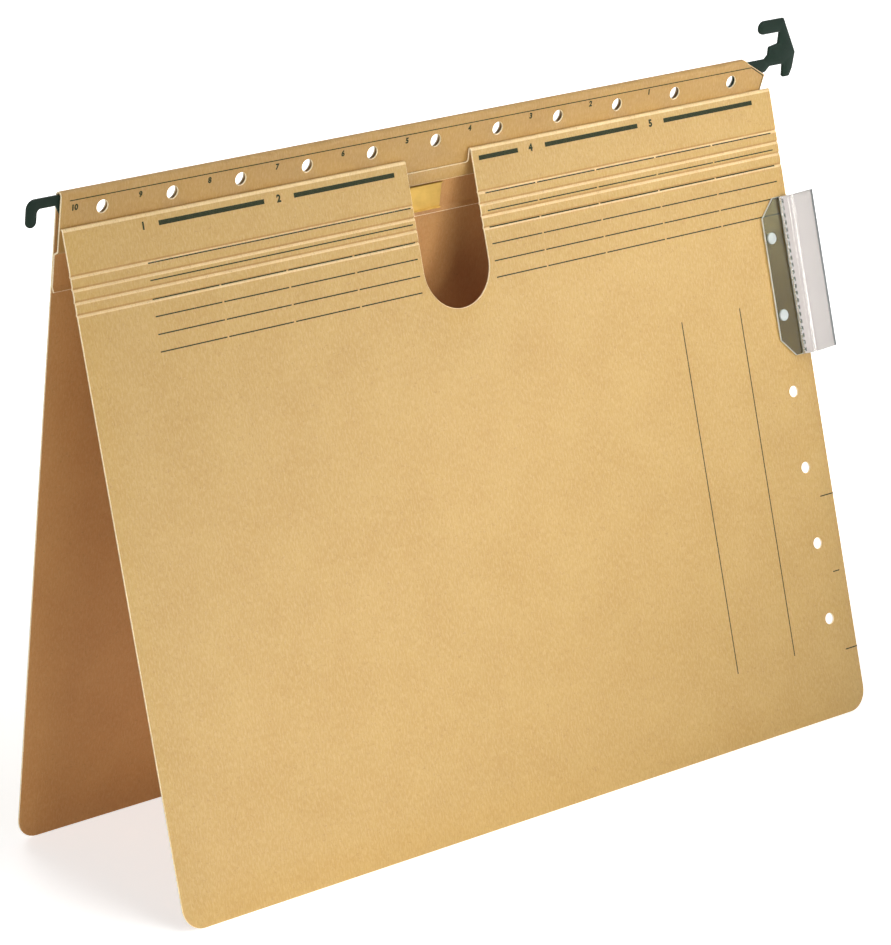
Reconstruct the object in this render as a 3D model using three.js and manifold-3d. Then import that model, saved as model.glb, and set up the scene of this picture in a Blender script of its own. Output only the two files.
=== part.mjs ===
// Hanging fastener folder: two board covers that hang from one flat steel rail with hooks.
// Millimetres, +Z up. X runs along the rail, the front cover faces -Y.
// The folder stands open like a tent; the origin is the middle of its footprint on the floor.
// Covers are drawn flat in sheet coordinates: u from the left edge, w up from the front
// cover's top edge, and depth y with the viewer at -y. Two groups then lean them.
import * as THREE from "three";
import { mergeVertices } from "three/addons/utils/BufferGeometryUtils.js";
import Module from "manifold-3d";

// Board and covers
const boardThickness = 0.6;
const coverWidth = 318;
const frontHeight = 230;
const backHeight = 221.4;
const coverCornerRadius = 8;
const foldCornerRadius = 0.5;
const openingAngle = THREE.MathUtils.degToRad(22.5);

// Clearance between neighbours that touch on the real object
const seatGap = 0.3;

// Front cover: finger cut, creases and the bend between them
const fingerCutWidth = 29.5;
const fingerCutCentre = 158.3;
const fingerCutDepth = 52.3;
const fingerCutLip = 1;
const creaseFirst = 15;
const creasePitch = 4.15;
const creaseCount = 4;
const creaseFall = 1.2;
const creaseClimb = 0.55;
const creaseDepth = 0.28;
const bendHalfAngle = THREE.MathUtils.degToRad(30);

// Glued flap behind the fold of the front cover
const flapDepth = 9.2;
const flapNotchDepth = 4.35;
const flapInset = 0.8;
const flapTaper = 3.2;
const flapNotchRadius = 1;

// Sleeve that the back cover's sheet forms round the rail
const sleeveRise = 12.7;
const hemDrop = 21.7;
const sleeveStepDrop = 7.6;
const sleeveStepFall = 1.2;
const neckInset = 3.3;
const neckCutRun = 13;
const neckCutInset = 1.8;
const neckCutRise = 5.9;

// Rail, cut from one plate, with the plain hook at its left end
const railThickness = 1.2;
const railDrop = 7;
const railLeftInset = 1;
const hookArmRun = 0.6;
const railEndInset = 1;
const shoulderRun = 1.4;
const shoulderRise = 1.3;
const hookReach = 12.4;
const hookArmTop = 11.7;
const hookSeatRise = 8.2;
const hookTipRise = 2.2;
const hookNoseWidth = 4;
const hookRootRun = 2.1;
const hookRootRise = 3.7;
const hookCrownRadius = 3.2;
const hookThroatRadius = 1.4;

// Two-way hook at the right end: the same seat below, a sideways hanger above
const twoWayReach = 13.8;
const twoWayArmTop = 12.1;
const twoWayWaist = 4.5;
const twoWayNoseInset = 1.6;
const twoWayNoseWidth = 3.5;
const twoWayNoseRise = 3;
const twoWayNoseCut = 3;
const twoWayDraft = 0.5;
const twoWayRootRun = 1.2;
const twoWayRootInset = 0.6;
const twoWayRootDrop = 1.8;
const twoWayRound = 0.8;
const railStepDrop = 2.6;
const hangerStepRise = 15.6;
const hangerStepFall = 0.8;
const hangerArmBottom = 20.9;
const hangerArmTop = 26;
const hangerOverlap = 6.5;
const hangerArmLength = 12.2;
const burrRadius = 0.4;

// Bodies that are joined into one solid sink into each other by this much
const weld = 0.1;

// A fully rounded end keeps this much of its straight side, so that its two arcs don't meet
const roundTrim = 0.01;

// Holes along the rail and down the cover's side
const sleeveHoleRadius = 2.2;
const rearHoleRadius = 3.2;
const railHoleRadius = 3.4;
const railLastHoleRadius = 2.6;
const railHoleFirst = 16.7;
const railHoleLastInset = 18.9;
const railHoleRise = 5.5;
const railHoleCount = 11;
const sideHoleRadius = 2;
const sideHoleInset = 11.7;
const sideHoleFirst = 52.9;
const sideHolePitch = 28.24;
const sideHoleCount = 6;

// Fastener
const fastenerCentre = 103;
const fastenerDrop = 14.8;
const prongPitch = 80;
const prongLength = 30;
const prongWidth = 5;
const prongThickness = 0.3;
const baseLength = 96;
const baseWidth = 7;
const baseThickness = 0.3;
const barLength = 120;
const barWidth = 9.4;
const barWall = 0.3;
const barRimHeight = 1.4;
const barRimWidth = 0.5;
const barRimRadius = 0.15;
const barBendRadius = 0.25;
const barHeelRadius = 0.45;
const barSeatGap = 0.4;
const slotClearance = 0.45;
const sliderLength = 7;
const sliderWall = 0.3;
const sliderLip = 1.3;
const sliderSpacing = 9;
const sliderBendRadius = 0.25;

// Clear tab and its label
const tabLength = 58;
const tabTop = 38.6;
const tabFlangeInset = 14.7;
const tabBendInset = 4.8;
const tabFlangeThickness = 0.7;
const tabChamfer = 6.6;
const tabValleyRun = 2.5;
const tabValleyRise = 3.2;
const tabValleyRadius = 4;
const tabFaceRun = 15;
const tabFaceFall = 4.5;
const tabWall = 0.4;
const labelThickness = 0.2;
const studRadius = 1.65;
const studBossRadius = 2.1;
const studBossHeight = 0.6;
const studDimpleRadius = 1.2;
const studRimWidth = 0.4;
const studTail = 0.75;
const studTailCut = 0.3;

// Depths of the layers, measured from the sleeve's front face
const railFront = boardThickness + seatGap;
const railBack = railFront + railThickness;
const rearLegFront = railBack + seatGap;
const rearLegBack = rearLegFront + boardThickness;
const foldClearance = seatGap / 2;
const pivotDepth = -(seatGap + boardThickness + foldClearance);
const coverBackFace = -foldClearance;
const coverFrontFace = coverBackFace - boardThickness;
const bendDrop = creaseFirst + creasePitch * (creaseCount - 1) / 2;
const hemFront = rearLegFront - boardThickness;

// The folder leans so that the bottom edges of both covers meet the floor
const rearReach = rearLegFront - pivotDepth;
const backLean = Math.atan2(
  backHeight - frontHeight * Math.cos(openingAngle) + foldClearance * Math.sin(openingAngle),
  frontHeight * Math.sin(openingAngle) + foldClearance * Math.cos(openingAngle) + rearReach,
);
const frontLean = openingAngle - backLean;
const pivotHeight = frontHeight * Math.cos(frontLean) - foldClearance * Math.sin(frontLean);
const frontMost = coverFrontFace * Math.cos(frontLean) - frontHeight * Math.sin(frontLean);
const backMost = (rearLegBack - pivotDepth) * Math.cos(backLean) + backHeight * Math.sin(backLean);
const pivotY = -(frontMost + backMost) / 2;
const leftEdgeX = -(coverWidth + twoWayReach - hookReach) / 2;
const railHolePitch = (coverWidth - railHoleFirst - railHoleLastInset) / (railHoleCount - 1);

const wasm = await Module();
wasm.setup();

function toSolid(geometry) {
  const bare = geometry.clone();
  bare.deleteAttribute("normal");
  bare.deleteAttribute("uv");
  const merged = mergeVertices(bare, 1e-4);
  return new wasm.Manifold(new wasm.Mesh({
    numProp: 3,
    vertProperties: new Float32Array(merged.attributes.position.array),
    triVerts: new Uint32Array(merged.index.array),
  }));
}

function toGeometry(solid) {
  const mesh = solid.getMesh();
  const indexed = new THREE.BufferGeometry();
  indexed.setAttribute("position", new THREE.BufferAttribute(mesh.vertProperties, mesh.numProp));
  indexed.setIndex(new THREE.BufferAttribute(mesh.triVerts, 1));
  const flat = indexed.toNonIndexed();
  flat.computeVertexNormals();
  return flat;
}

// A closed outline from corners [x, y, fillet radius]
function outline(corners) {
  const shape = new THREE.Shape();
  const count = corners.length;
  corners.forEach(([x, y, radius = 0], i) => {
    const corner = new THREE.Vector2(x, y);
    const before = new THREE.Vector2(...corners[(i + count - 1) % count]).sub(corner).normalize();
    const after = new THREE.Vector2(...corners[(i + 1) % count]).sub(corner).normalize();
    const place = i === 0 ? "moveTo" : "lineTo";
    if (radius === 0) {
      shape[place](x, y);
      return;
    }
    const half = Math.acos(THREE.MathUtils.clamp(before.dot(after), -1, 1)) / 2;
    const start = corner.clone().addScaledVector(before, radius / Math.tan(half));
    const end = corner.clone().addScaledVector(after, radius / Math.tan(half));
    const centre = before.clone().add(after).normalize().multiplyScalar(radius / Math.sin(half)).add(corner);
    const clockwise = before.cross(after) > 0;
    shape[place](start.x, start.y);
    shape.absarc(centre.x, centre.y, radius, start.sub(centre).angle(), end.sub(centre).angle(), clockwise);
  });
  return shape;
}

// An outline of constant thickness round a line with one rounded bend to its left
function stripOutline([start, bend, end], halfThickness) {
  const first = new THREE.Vector2(...bend).sub(new THREE.Vector2(...start)).normalize();
  const second = new THREE.Vector2(...end).sub(new THREE.Vector2(...bend)).normalize();
  const middle = first.clone().add(second).normalize();
  const side = ([x, y], along, reach) => [
    [x - along.y * reach, y + along.x * reach],
    [x + along.y * reach, y - along.x * reach],
  ];
  const [startLeft, startRight] = side(start, first, halfThickness);
  const [bendLeft, bendRight] = side(bend, middle, halfThickness / middle.dot(first));
  const [endLeft, endRight] = side(end, second, halfThickness);
  return outline([
    startLeft,
    [...bendLeft, tabValleyRadius - halfThickness],
    endLeft,
    endRight,
    [...bendRight, tabValleyRadius + halfThickness],
    startRight,
  ]);
}

// The points of a path, anticlockwise, without the doubled ones where a line meets an arc
function distinctPoints(path, segments) {
  const points = path.getPoints(segments);
  if (THREE.ShapeUtils.isClockWise(points)) points.reverse();
  return points.filter((point, i) => point.distanceTo(points[(i + 1) % points.length]) > 1e-6);
}

function extrude(shape, depth, segments) {
  const tidy = new THREE.Shape(distinctPoints(shape, segments));
  tidy.holes = shape.holes.map((hole) => new THREE.Path(distinctPoints(hole, segments)));
  return new THREE.ExtrudeGeometry(tidy, { depth, bevelEnabled: false });
}

// A plate drawn in u and w, from front depth to back depth
function plate(shape, front, back, segments = 10) {
  const geometry = extrude(shape, back - front, segments);
  geometry.rotateX(Math.PI / 2);
  geometry.translate(0, back, 0);
  return toSolid(geometry);
}

// A section drawn in depth and w, run along u
function run(shape, start, end, segments = 8) {
  const geometry = extrude(shape, end - start, segments);
  geometry.applyMatrix4(new THREE.Matrix4().makeBasis(
    new THREE.Vector3(0, 1, 0), new THREE.Vector3(0, 0, 1), new THREE.Vector3(1, 0, 0),
  ));
  geometry.translate(start, 0, 0);
  return toSolid(geometry);
}

function box(u0, u1, y0, y1, w0, w1) {
  const geometry = new THREE.BoxGeometry(u1 - u0, y1 - y0, w1 - w0);
  geometry.translate((u0 + u1) / 2, (y0 + y1) / 2, (w0 + w1) / 2);
  return toSolid(geometry);
}

// A drill through the sheets, along the depth
function drill(u, w, radius, front, back) {
  const geometry = new THREE.CylinderGeometry(radius, radius, back - front, 20);
  geometry.translate(u, (front + back) / 2, w);
  return toSolid(geometry);
}

// A piece turned round an axis through the sheets, from [radius, depth] pairs
function turned(profile, u, w) {
  const geometry = new THREE.LatheGeometry(profile.map(([r, y]) => new THREE.Vector2(r, y)), 20);
  geometry.translate(u, 0, w);
  return toSolid(geometry);
}

function holeRow(count, first, pitch, cut) {
  let solid = null;
  for (let i = 0; i < count; i += 1) {
    const hole = cut(first + i * pitch);
    solid = solid ? solid.add(hole) : hole;
  }
  return solid;
}

// Cutting depths well past every layer
const farFront = -20;
const farBack = 20;

// Right end of the sleeve: slanted at the top, drawn in below it, full width under the hem
function backOutline() {
  const neckEdge = coverWidth - neckInset;
  const neckCutStart = coverWidth - neckCutRun;
  return outline([
    [0, 2 * sleeveRise],
    [0, -backHeight, coverCornerRadius],
    [coverWidth, -backHeight, coverCornerRadius],
    [coverWidth, -hemDrop - neckInset],
    [neckEdge, -hemDrop],
    [neckEdge, 0],
    [coverWidth - neckCutInset, neckCutRise],
    [neckCutStart, sleeveRise],
    [neckCutStart, 2 * sleeveRise],
  ]);
}

// One sheet: up behind the rail, over its top, down its front and glued below it
function sleeveSection() {
  const outerRadius = rearLegBack / 2;
  const innerRadius = outerRadius - boardThickness;
  const bendW = sleeveRise - outerRadius;
  const stepBottom = -sleeveStepDrop - sleeveStepFall;
  const slant = Math.hypot(hemFront, sleeveStepFall);
  const innerLift = boardThickness * slant / hemFront - boardThickness * sleeveStepFall / hemFront;
  const section = new THREE.Shape();
  section.moveTo(hemFront, -hemDrop);
  section.lineTo(hemFront, stepBottom);
  section.lineTo(0, -sleeveStepDrop);
  section.lineTo(0, bendW);
  section.absarc(outerRadius, bendW, outerRadius, Math.PI, 0, true);
  section.lineTo(rearLegBack, -backHeight);
  section.lineTo(rearLegFront, -backHeight);
  section.lineTo(rearLegFront, -hemDrop);
  const inside = new THREE.Path();
  inside.moveTo(boardThickness, -sleeveStepDrop + innerLift);
  inside.lineTo(boardThickness, bendW);
  inside.absarc(outerRadius, bendW, innerRadius, Math.PI, 0, true);
  inside.lineTo(rearLegFront, stepBottom + innerLift);
  section.holes.push(inside);
  return section;
}

function backCover() {
  const frontHoles = holeRow(railHoleCount, railHoleFirst, railHolePitch,
    (u) => drill(u, railHoleRise, sleeveHoleRadius, farFront, railFront));
  const rearHoles = holeRow(railHoleCount, railHoleFirst, railHolePitch,
    (u) => drill(u, railHoleRise, rearHoleRadius, railBack, farBack));
  return run(sleeveSection(), 0, coverWidth)
    .intersect(plate(backOutline(), farFront, farBack))
    .subtract(frontHoles)
    .subtract(rearHoles);
}

// Flat steel rail with a plain hook at the left and the two-way hook at the right
function railOutline() {
  const top = sleeveRise - rearLegBack / 2;
  const right = coverWidth;
  const outer = coverWidth + twoWayReach;
  const throat = hookNoseWidth - hookReach;
  const noseRadius = hookNoseWidth / 2 - roundTrim;
  const hangerTip = right - hangerOverlap;
  const hangerRadius = (hangerArmTop - hangerArmBottom) / 2 - roundTrim;
  const noseRight = outer - twoWayNoseInset;
  const noseLeft = noseRight - twoWayNoseWidth;
  const railEnd = right - neckInset - railEndInset;
  return outline([
    [railLeftInset, -railDrop],
    [railLeftInset, hookSeatRise - hookRootRise, burrRadius],
    [railLeftInset - hookRootRun, hookSeatRise, burrRadius],
    [throat, hookSeatRise, hookThroatRadius],
    [throat, hookTipRise, noseRadius],
    [-hookReach, hookTipRise, noseRadius],
    [-hookReach, hookArmTop, hookCrownRadius],
    [0, hookArmTop, burrRadius],
    [hookArmRun, top],
    [right - shoulderRun, top, burrRadius],
    [right, top + shoulderRise, burrRadius],
    [right, hangerStepRise, burrRadius],
    [right + twoWayWaist, hangerStepRise + hangerStepFall, burrRadius],
    [right + twoWayWaist, hangerArmBottom, burrRadius],
    [hangerTip, hangerArmBottom, hangerRadius],
    [hangerTip, hangerArmTop, hangerRadius],
    [hangerTip + hangerArmLength, hangerArmTop, burrRadius],
    [outer, twoWayArmTop, twoWayRound],
    [outer - twoWayDraft, twoWayNoseRise + twoWayNoseCut, twoWayRound],
    [noseRight, twoWayNoseRise, twoWayRound],
    [noseLeft, twoWayNoseRise, twoWayRound],
    [noseLeft - twoWayDraft, hookSeatRise, twoWayRound],
    [right + twoWayRootRun, hookSeatRise, twoWayRound],
    [right - twoWayRootInset, hookSeatRise - twoWayRootDrop, burrRadius],
    [railEnd, hookSeatRise - railStepDrop],
    [railEnd, -railDrop],
  ]);
}

// The rail's holes are wide, so that the sheet's own show through; the last one is narrower
function rail() {
  const wideHoles = holeRow(railHoleCount - 1, railHoleFirst, railHolePitch,
    (u) => drill(u, railHoleRise, railHoleRadius, farFront, farBack));
  const lastHole = drill(coverWidth - railHoleLastInset, railHoleRise, railLastHoleRadius, farFront, farBack);
  return plate(railOutline(), railFront, railBack, 8).subtract(wideHoles).subtract(lastHole);
}

// Flap of the front cover's sheet, turned in at the fold and glued to the sleeve
function frontFlap() {
  const cutStart = fingerCutCentre - fingerCutWidth / 2;
  const cutEnd = fingerCutCentre + fingerCutWidth / 2;
  const flapTop = -seatGap - foldClearance / 2;
  const shape = outline([
    [flapInset, flapTop],
    [flapInset + flapTaper, -flapDepth],
    [coverWidth - neckInset - flapTaper, -flapDepth],
    [coverWidth - neckInset, flapTop],
    [cutEnd, flapTop],
    [cutEnd, -flapNotchDepth, flapNotchRadius],
    [cutStart, -flapNotchDepth, flapNotchRadius],
    [cutStart, flapTop],
  ]);
  return plate(shape, -seatGap - boardThickness, -seatGap);
}

// A face of the front cover from one w to the next, with a score pressed in at each crease
function scoredLine(face, from, to) {
  const points = [];
  for (let i = 0; i < creaseCount; i += 1) {
    const crease = -creaseFirst - i * creasePitch;
    if (crease < from && crease > to) {
      points.push([face, crease + creaseClimb / 2 + creaseFall]);
      points.push([face + creaseDepth, crease + creaseClimb / 2]);
      points.push([face, crease - creaseClimb / 2]);
    }
  }
  return points;
}

// A band of the sheet between two heights; the ends slope where the cover bends
function coverBand(top, bottom, topSlope, bottomSlope) {
  const topShift = boardThickness * Math.tan(topSlope);
  const bottomShift = boardThickness * Math.tan(bottomSlope);
  const section = [
    [coverBackFace, top],
    [coverFrontFace, top - topShift],
    ...scoredLine(coverFrontFace, top, bottom),
    [coverFrontFace, bottom + bottomShift],
    [coverBackFace, bottom],
    ...scoredLine(coverBackFace, top, bottom).reverse(),
  ];
  return new THREE.Shape(section.map(([y, w]) => new THREE.Vector2(y, w)));
}

function frontOutline() {
  const cutStart = fingerCutCentre - fingerCutWidth / 2;
  const cutEnd = fingerCutCentre + fingerCutWidth / 2;
  const cutRadius = fingerCutWidth / 2 - roundTrim;
  return outline([
    [0, 0, foldCornerRadius],
    [0, -frontHeight, coverCornerRadius],
    [coverWidth, -frontHeight, coverCornerRadius],
    [coverWidth, 0, foldCornerRadius],
    [cutEnd, 0, fingerCutLip],
    [cutEnd, -fingerCutDepth, cutRadius],
    [cutStart, -fingerCutDepth, cutRadius],
    [cutStart, 0, fingerCutLip],
  ]);
}

function frontMargin(start, end) {
  const band = coverBand(0, -bendDrop + foldClearance, 0, bendHalfAngle);
  return run(band, start, end).intersect(plate(frontOutline(), farFront, farBack, 16));
}

function sideHoleW(index) {
  return -sideHoleFirst - index * sideHolePitch;
}

function frontPanel() {
  const band = coverBand(-bendDrop - foldClearance, -frontHeight, bendHalfAngle, 0);
  const holes = holeRow(sideHoleCount, 0, 1,
    (i) => drill(coverWidth - sideHoleInset, sideHoleW(i), sideHoleRadius, farFront, farBack));
  return run(band, 0, coverWidth)
    .intersect(plate(frontOutline(), farFront, farBack, 16))
    .subtract(holes);
}

// Depths of the fastener's layers, from the hem's front face towards the viewer
const baseBack = hemFront - seatGap;
const baseFront = baseBack - baseThickness;
const barBack = baseFront - barSeatGap;
const barFloor = barBack - barWall;
const barFront = barBack - barRimHeight;
const prongBack = barFloor - seatGap;
const prongFront = prongBack - prongThickness;
const prongMiddle = (prongBack + prongFront) / 2;

function prongRoot(side) {
  return fastenerCentre + side * prongPitch / 2;
}

function fastenerBase() {
  const halfLength = baseLength / 2;
  const end = baseWidth / 2 - roundTrim;
  let solid = plate(outline([
    [fastenerCentre - halfLength, -fastenerDrop - baseWidth / 2, end],
    [fastenerCentre + halfLength, -fastenerDrop - baseWidth / 2, end],
    [fastenerCentre + halfLength, -fastenerDrop + baseWidth / 2, end],
    [fastenerCentre - halfLength, -fastenerDrop + baseWidth / 2, end],
  ]), baseFront, baseBack);
  for (const side of [-1, 1]) {
    const u = prongRoot(side);
    solid = solid.add(box(u - prongThickness / 2, u + prongThickness / 2, prongMiddle, baseBack - weld,
      -fastenerDrop - prongWidth / 2, -fastenerDrop + prongWidth / 2));
  }
  return solid;
}

// A prong folded inwards into the bar's channel, with a rounded tip
function prong(side) {
  const root = prongRoot(side) - side * (prongThickness / 2 + seatGap);
  const tip = prongRoot(side) - side * prongLength;
  const low = -fastenerDrop - prongWidth / 2;
  const high = -fastenerDrop + prongWidth / 2;
  const tipRadius = prongWidth / 2 - roundTrim;
  const shape = outline([[root, low], [tip, low, tipRadius], [tip, high, tipRadius], [root, high]]);
  return plate(shape, prongFront, prongBack);
}

function coverBar() {
  const half = barWidth / 2;
  const section = outline([
    [barFront, half - barRimWidth, barRimRadius],
    [barFloor, half - barRimWidth, barBendRadius],
    [barFloor, -half + barRimWidth, barBendRadius],
    [barFront, -half + barRimWidth, barRimRadius],
    [barFront, -half, barRimRadius],
    [barBack, -half, barHeelRadius],
    [barBack, half, barHeelRadius],
    [barFront, half, barRimRadius],
  ]);
  let solid = run(section, fastenerCentre - barLength / 2, fastenerCentre + barLength / 2, 4);
  solid = solid.translate([0, 0, -fastenerDrop]);
  for (const side of [-1, 1]) {
    const u = prongRoot(side);
    const halfSlot = prongThickness / 2 + slotClearance;
    const halfHeight = prongWidth / 2 + slotClearance;
    solid = solid.subtract(box(u - halfSlot, u + halfSlot, farFront, farBack,
      -fastenerDrop - halfHeight, -fastenerDrop + halfHeight));
  }
  return solid;
}

// A sheet clip that wraps the bar from the front and grips it from behind
function slider(side) {
  const inner = barWidth / 2 + seatGap;
  const outer = inner + sliderWall;
  const front = barFront - seatGap - sliderWall;
  const back = barBack + seatGap + sliderWall;
  const section = outline([
    [front, -outer, sliderBendRadius],
    [back, -outer, sliderBendRadius],
    [back, -outer + sliderLip],
    [back - sliderWall, -outer + sliderLip],
    [back - sliderWall, -inner],
    [front + sliderWall, -inner],
    [front + sliderWall, inner],
    [back - sliderWall, inner],
    [back - sliderWall, outer - sliderLip],
    [back, outer - sliderLip],
    [back, outer, sliderBendRadius],
    [front, outer, sliderBendRadius],
  ]);
  const start = fastenerCentre + (side * sliderSpacing - sliderLength) / 2;
  return run(section, start, start + sliderLength, 4).translate([0, 0, -fastenerDrop]);
}

// Bent centre line of the tab's pocket, in u and depth
const tabFlangeStart = coverWidth - tabFlangeInset;
const tabBend = coverWidth - tabBendInset;
const tabFlangeBack = coverFrontFace - seatGap;
const tabFlangeFront = tabFlangeBack - tabFlangeThickness;
const pocketHalf = labelThickness / 2 + seatGap + tabWall;
const pocketLine = [
  [tabBend, tabFlangeBack - pocketHalf],
  [tabBend + tabValleyRun, tabFlangeBack - pocketHalf - tabValleyRise],
  [tabBend + tabValleyRun + tabFaceRun, tabFlangeBack - pocketHalf - tabValleyRise + tabFaceFall],
];

// The pocket's centre line, shortened at both ends
function shortLine(startCut, endCut) {
  const [first, valley, last] = pocketLine.map(([x, y]) => new THREE.Vector2(x, y));
  const start = first.clone().add(valley.clone().sub(first).setLength(startCut));
  const end = last.clone().add(valley.clone().sub(last).setLength(endCut));
  return [start.toArray(), valley.toArray(), end.toArray()];
}

function standUp(shape, low, high) {
  const geometry = extrude(shape, high - low, 6);
  geometry.translate(0, 0, low);
  return toSolid(geometry);
}

function tabHolder() {
  const top = -tabTop;
  const bottom = -tabTop - tabLength;
  const flangeEnd = tabBend + pocketHalf / 2;
  const flange = plate(outline([
    [tabFlangeStart, top - tabChamfer],
    [tabFlangeStart, bottom + tabChamfer],
    [tabFlangeStart + tabChamfer, bottom],
    [flangeEnd, bottom],
    [flangeEnd, top],
    [tabFlangeStart + tabChamfer, top],
  ]), tabFlangeFront, tabFlangeBack);
  const pocket = standUp(stripOutline(shortLine(0, 0), pocketHalf), bottom, top);
  const slotLine = shortLine(tabWall, tabWall);
  const slot = standUp(stripOutline(slotLine, pocketHalf - tabWall), bottom - weld, top + weld);
  let solid = flange.add(pocket).subtract(slot);
  for (const index of [0, 1]) {
    const boss = turned([
      [0, coverBackFace + studTail],
      [studRadius - studTailCut, coverBackFace + studTail],
      [studRadius, coverBackFace + studTail - studTailCut],
      [studRadius, tabFlangeBack - weld],
      [studBossRadius, tabFlangeBack - weld],
      [studBossRadius, tabFlangeFront - studBossHeight / 2],
      [studDimpleRadius + studRimWidth, tabFlangeFront - studBossHeight],
      [studDimpleRadius, tabFlangeFront - studBossHeight],
      [studDimpleRadius / 2, tabFlangeFront - studBossHeight / 3],
      [0, tabFlangeFront - studBossHeight / 4],
    ].reverse(), coverWidth - sideHoleInset, sideHoleW(index));
    solid = solid.add(boss);
  }
  return solid;
}

function tabLabel() {
  const margin = tabWall + seatGap;
  return standUp(stripOutline(shortLine(margin, margin), labelThickness / 2), -tabTop - tabLength, -tabTop);
}

// Looks of the materials
const kraft = { color: 0xd9b878, roughness: 0.85, metalness: 0 };
const kraftShade = { color: 0xcfa96a, roughness: 0.85, metalness: 0 };
const greenSteel = { color: 0x24342c, roughness: 0.4, metalness: 0.2 };
const brassSteel = { color: 0xdbb25a, roughness: 0.35, metalness: 0.9 };
const clearPlastic = { color: 0xdfe3e0, roughness: 0.1, metalness: 0, transparent: true, opacity: 0.4 };
const whitePaper = { color: 0xe6e0dc, roughness: 0.8, metalness: 0 };

function piece(name, solid, look) {
  const mesh = new THREE.Mesh(toGeometry(solid), new THREE.MeshStandardMaterial(look));
  mesh.name = name;
  return mesh;
}

const backGroup = new THREE.Group();
backGroup.position.set(leftEdgeX, pivotY, pivotHeight);
backGroup.rotation.x = backLean;

const spineSheets = new THREE.Group();
spineSheets.position.y = -pivotDepth;
spineSheets.add(
  piece("back_cover", backCover(), kraftShade),
  piece("rail", rail(), greenSteel),
  piece("front_flap", frontFlap(), kraft),
  piece("fastener_base", fastenerBase(), brassSteel),
  piece("prong_left", prong(-1), brassSteel),
  piece("prong_right", prong(1), brassSteel),
  piece("cover_bar", coverBar(), brassSteel),
  piece("slider_left", slider(-1), brassSteel),
  piece("slider_right", slider(1), brassSteel),
);
backGroup.add(spineSheets);

const frontGroup = new THREE.Group();
frontGroup.position.copy(backGroup.position);
frontGroup.rotation.x = -frontLean;
frontGroup.add(
  piece("front_margin_left", frontMargin(0, fingerCutCentre), kraft),
  piece("front_margin_right", frontMargin(fingerCutCentre, coverWidth), kraft),
  piece("front_panel", frontPanel(), kraft),
  piece("tab_holder", tabHolder(), clearPlastic),
  piece("tab_label", tabLabel(), whitePaper),
);

const folder = new THREE.Group();
folder.add(backGroup, frontGroup);

export default folder;
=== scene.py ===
import math

import bmesh
import bpy
import numpy as np
from mathutils import Matrix, Vector
from mathutils.geometry import delaunay_2d_cdt


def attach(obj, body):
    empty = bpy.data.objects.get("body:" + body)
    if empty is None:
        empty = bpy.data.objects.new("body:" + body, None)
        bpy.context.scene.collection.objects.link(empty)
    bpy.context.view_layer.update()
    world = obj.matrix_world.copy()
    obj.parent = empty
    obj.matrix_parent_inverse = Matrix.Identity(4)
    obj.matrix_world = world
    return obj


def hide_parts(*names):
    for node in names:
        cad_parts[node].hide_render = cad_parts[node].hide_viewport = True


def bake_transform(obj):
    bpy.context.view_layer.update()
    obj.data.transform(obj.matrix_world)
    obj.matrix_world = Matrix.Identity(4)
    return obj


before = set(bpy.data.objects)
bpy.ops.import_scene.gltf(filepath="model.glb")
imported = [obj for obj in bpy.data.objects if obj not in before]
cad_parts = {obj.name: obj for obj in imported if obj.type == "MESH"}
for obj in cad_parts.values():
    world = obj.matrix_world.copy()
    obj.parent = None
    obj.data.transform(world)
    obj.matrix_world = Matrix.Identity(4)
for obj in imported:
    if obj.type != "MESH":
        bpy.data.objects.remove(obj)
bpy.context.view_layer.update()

print("frame loaded")

# Lengths are in mm until a mesh is made; Blender gets metres
mm = 0.001

# Both covers hang from one fold: its place, and how far each cover leans from upright
folder = {
    "pivot": (-159.7, 21.012, 220.011),
    "frontLean": 16.9105,
    "backLean": 5.5895,
    "spineDepth": 1.05,
    "coverWidth": 318.0,
    "frontHeight": 230.0,
    "backHeight": 221.4,
    "boardThickness": 0.6,
    "cornerRadius": 8.0,
}


def leanFrame(lean, depth):
    stand = Matrix.Translation(Vector(folder["pivot"]) * mm)
    turn = Matrix.Rotation(math.radians(lean), 4, "X")
    return stand @ turn @ Matrix.Translation((0, depth * mm, 0)) @ Matrix.Scale(mm, 4)


# Sheet space: u from the left edge, depth away from the viewer, w up from the fold
frontFrame = leanFrame(-folder["frontLean"], 0)
spineFrame = leanFrame(folder["backLean"], folder["spineDepth"])


def srgb(code):
    parts = [int(code[i : i + 2], 16) / 255 for i in (1, 3, 5)]
    linear = [c / 12.92 if c <= 0.04045 else ((c + 0.055) / 1.055) ** 2.4 for c in parts]
    return (*linear, 1.0)


def addNode(tree, kind, settings=None, links=None):
    node = tree.nodes.new("ShaderNode" + kind)
    for key, value in (settings or {}).items():
        if isinstance(key, str) and hasattr(node, key):
            setattr(node, key, value)
        else:
            node.inputs[key].default_value = value
    for key, source in (links or {}).items():
        tree.links.new(source, node.inputs[key])
    return node


def newMaterial(name, onSheetMap=False):
    # a cleared material, its tree, and the coordinates that its patterns lie in
    material = bpy.data.materials.new(name)
    material.use_nodes = True
    tree = material.node_tree
    tree.nodes.clear()
    if onSheetMap:
        return material, tree, addNode(tree, "UVMap", {"uv_map": "sheetMap"}).outputs[0]
    return material, tree, addNode(tree, "TexCoord").outputs["Object"]


def closeMaterial(tree, shader):
    addNode(tree, "OutputMaterial", links={"Surface": shader.outputs[0]})


def perMm(size):
    # the scale of a pattern whose grain is this many mm wide
    return 1 / (size * mm)


def tint(tree, pattern, reach, base, colour):
    # colour over base where the pattern goes from reach[0] to reach[1], up to the share reach[2]
    share = addNode(tree, "MapRange", {1: reach[0], 2: reach[1], 4: reach[2]}, {0: pattern})
    settings, links = {"data_type": "RGBA", 7: srgb(colour)}, {0: share.outputs[0]}
    if isinstance(base, str):
        settings[6] = srgb(base)
    else:
        links[6] = base
    return addNode(tree, "Mix", settings, links).outputs[2]


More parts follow.
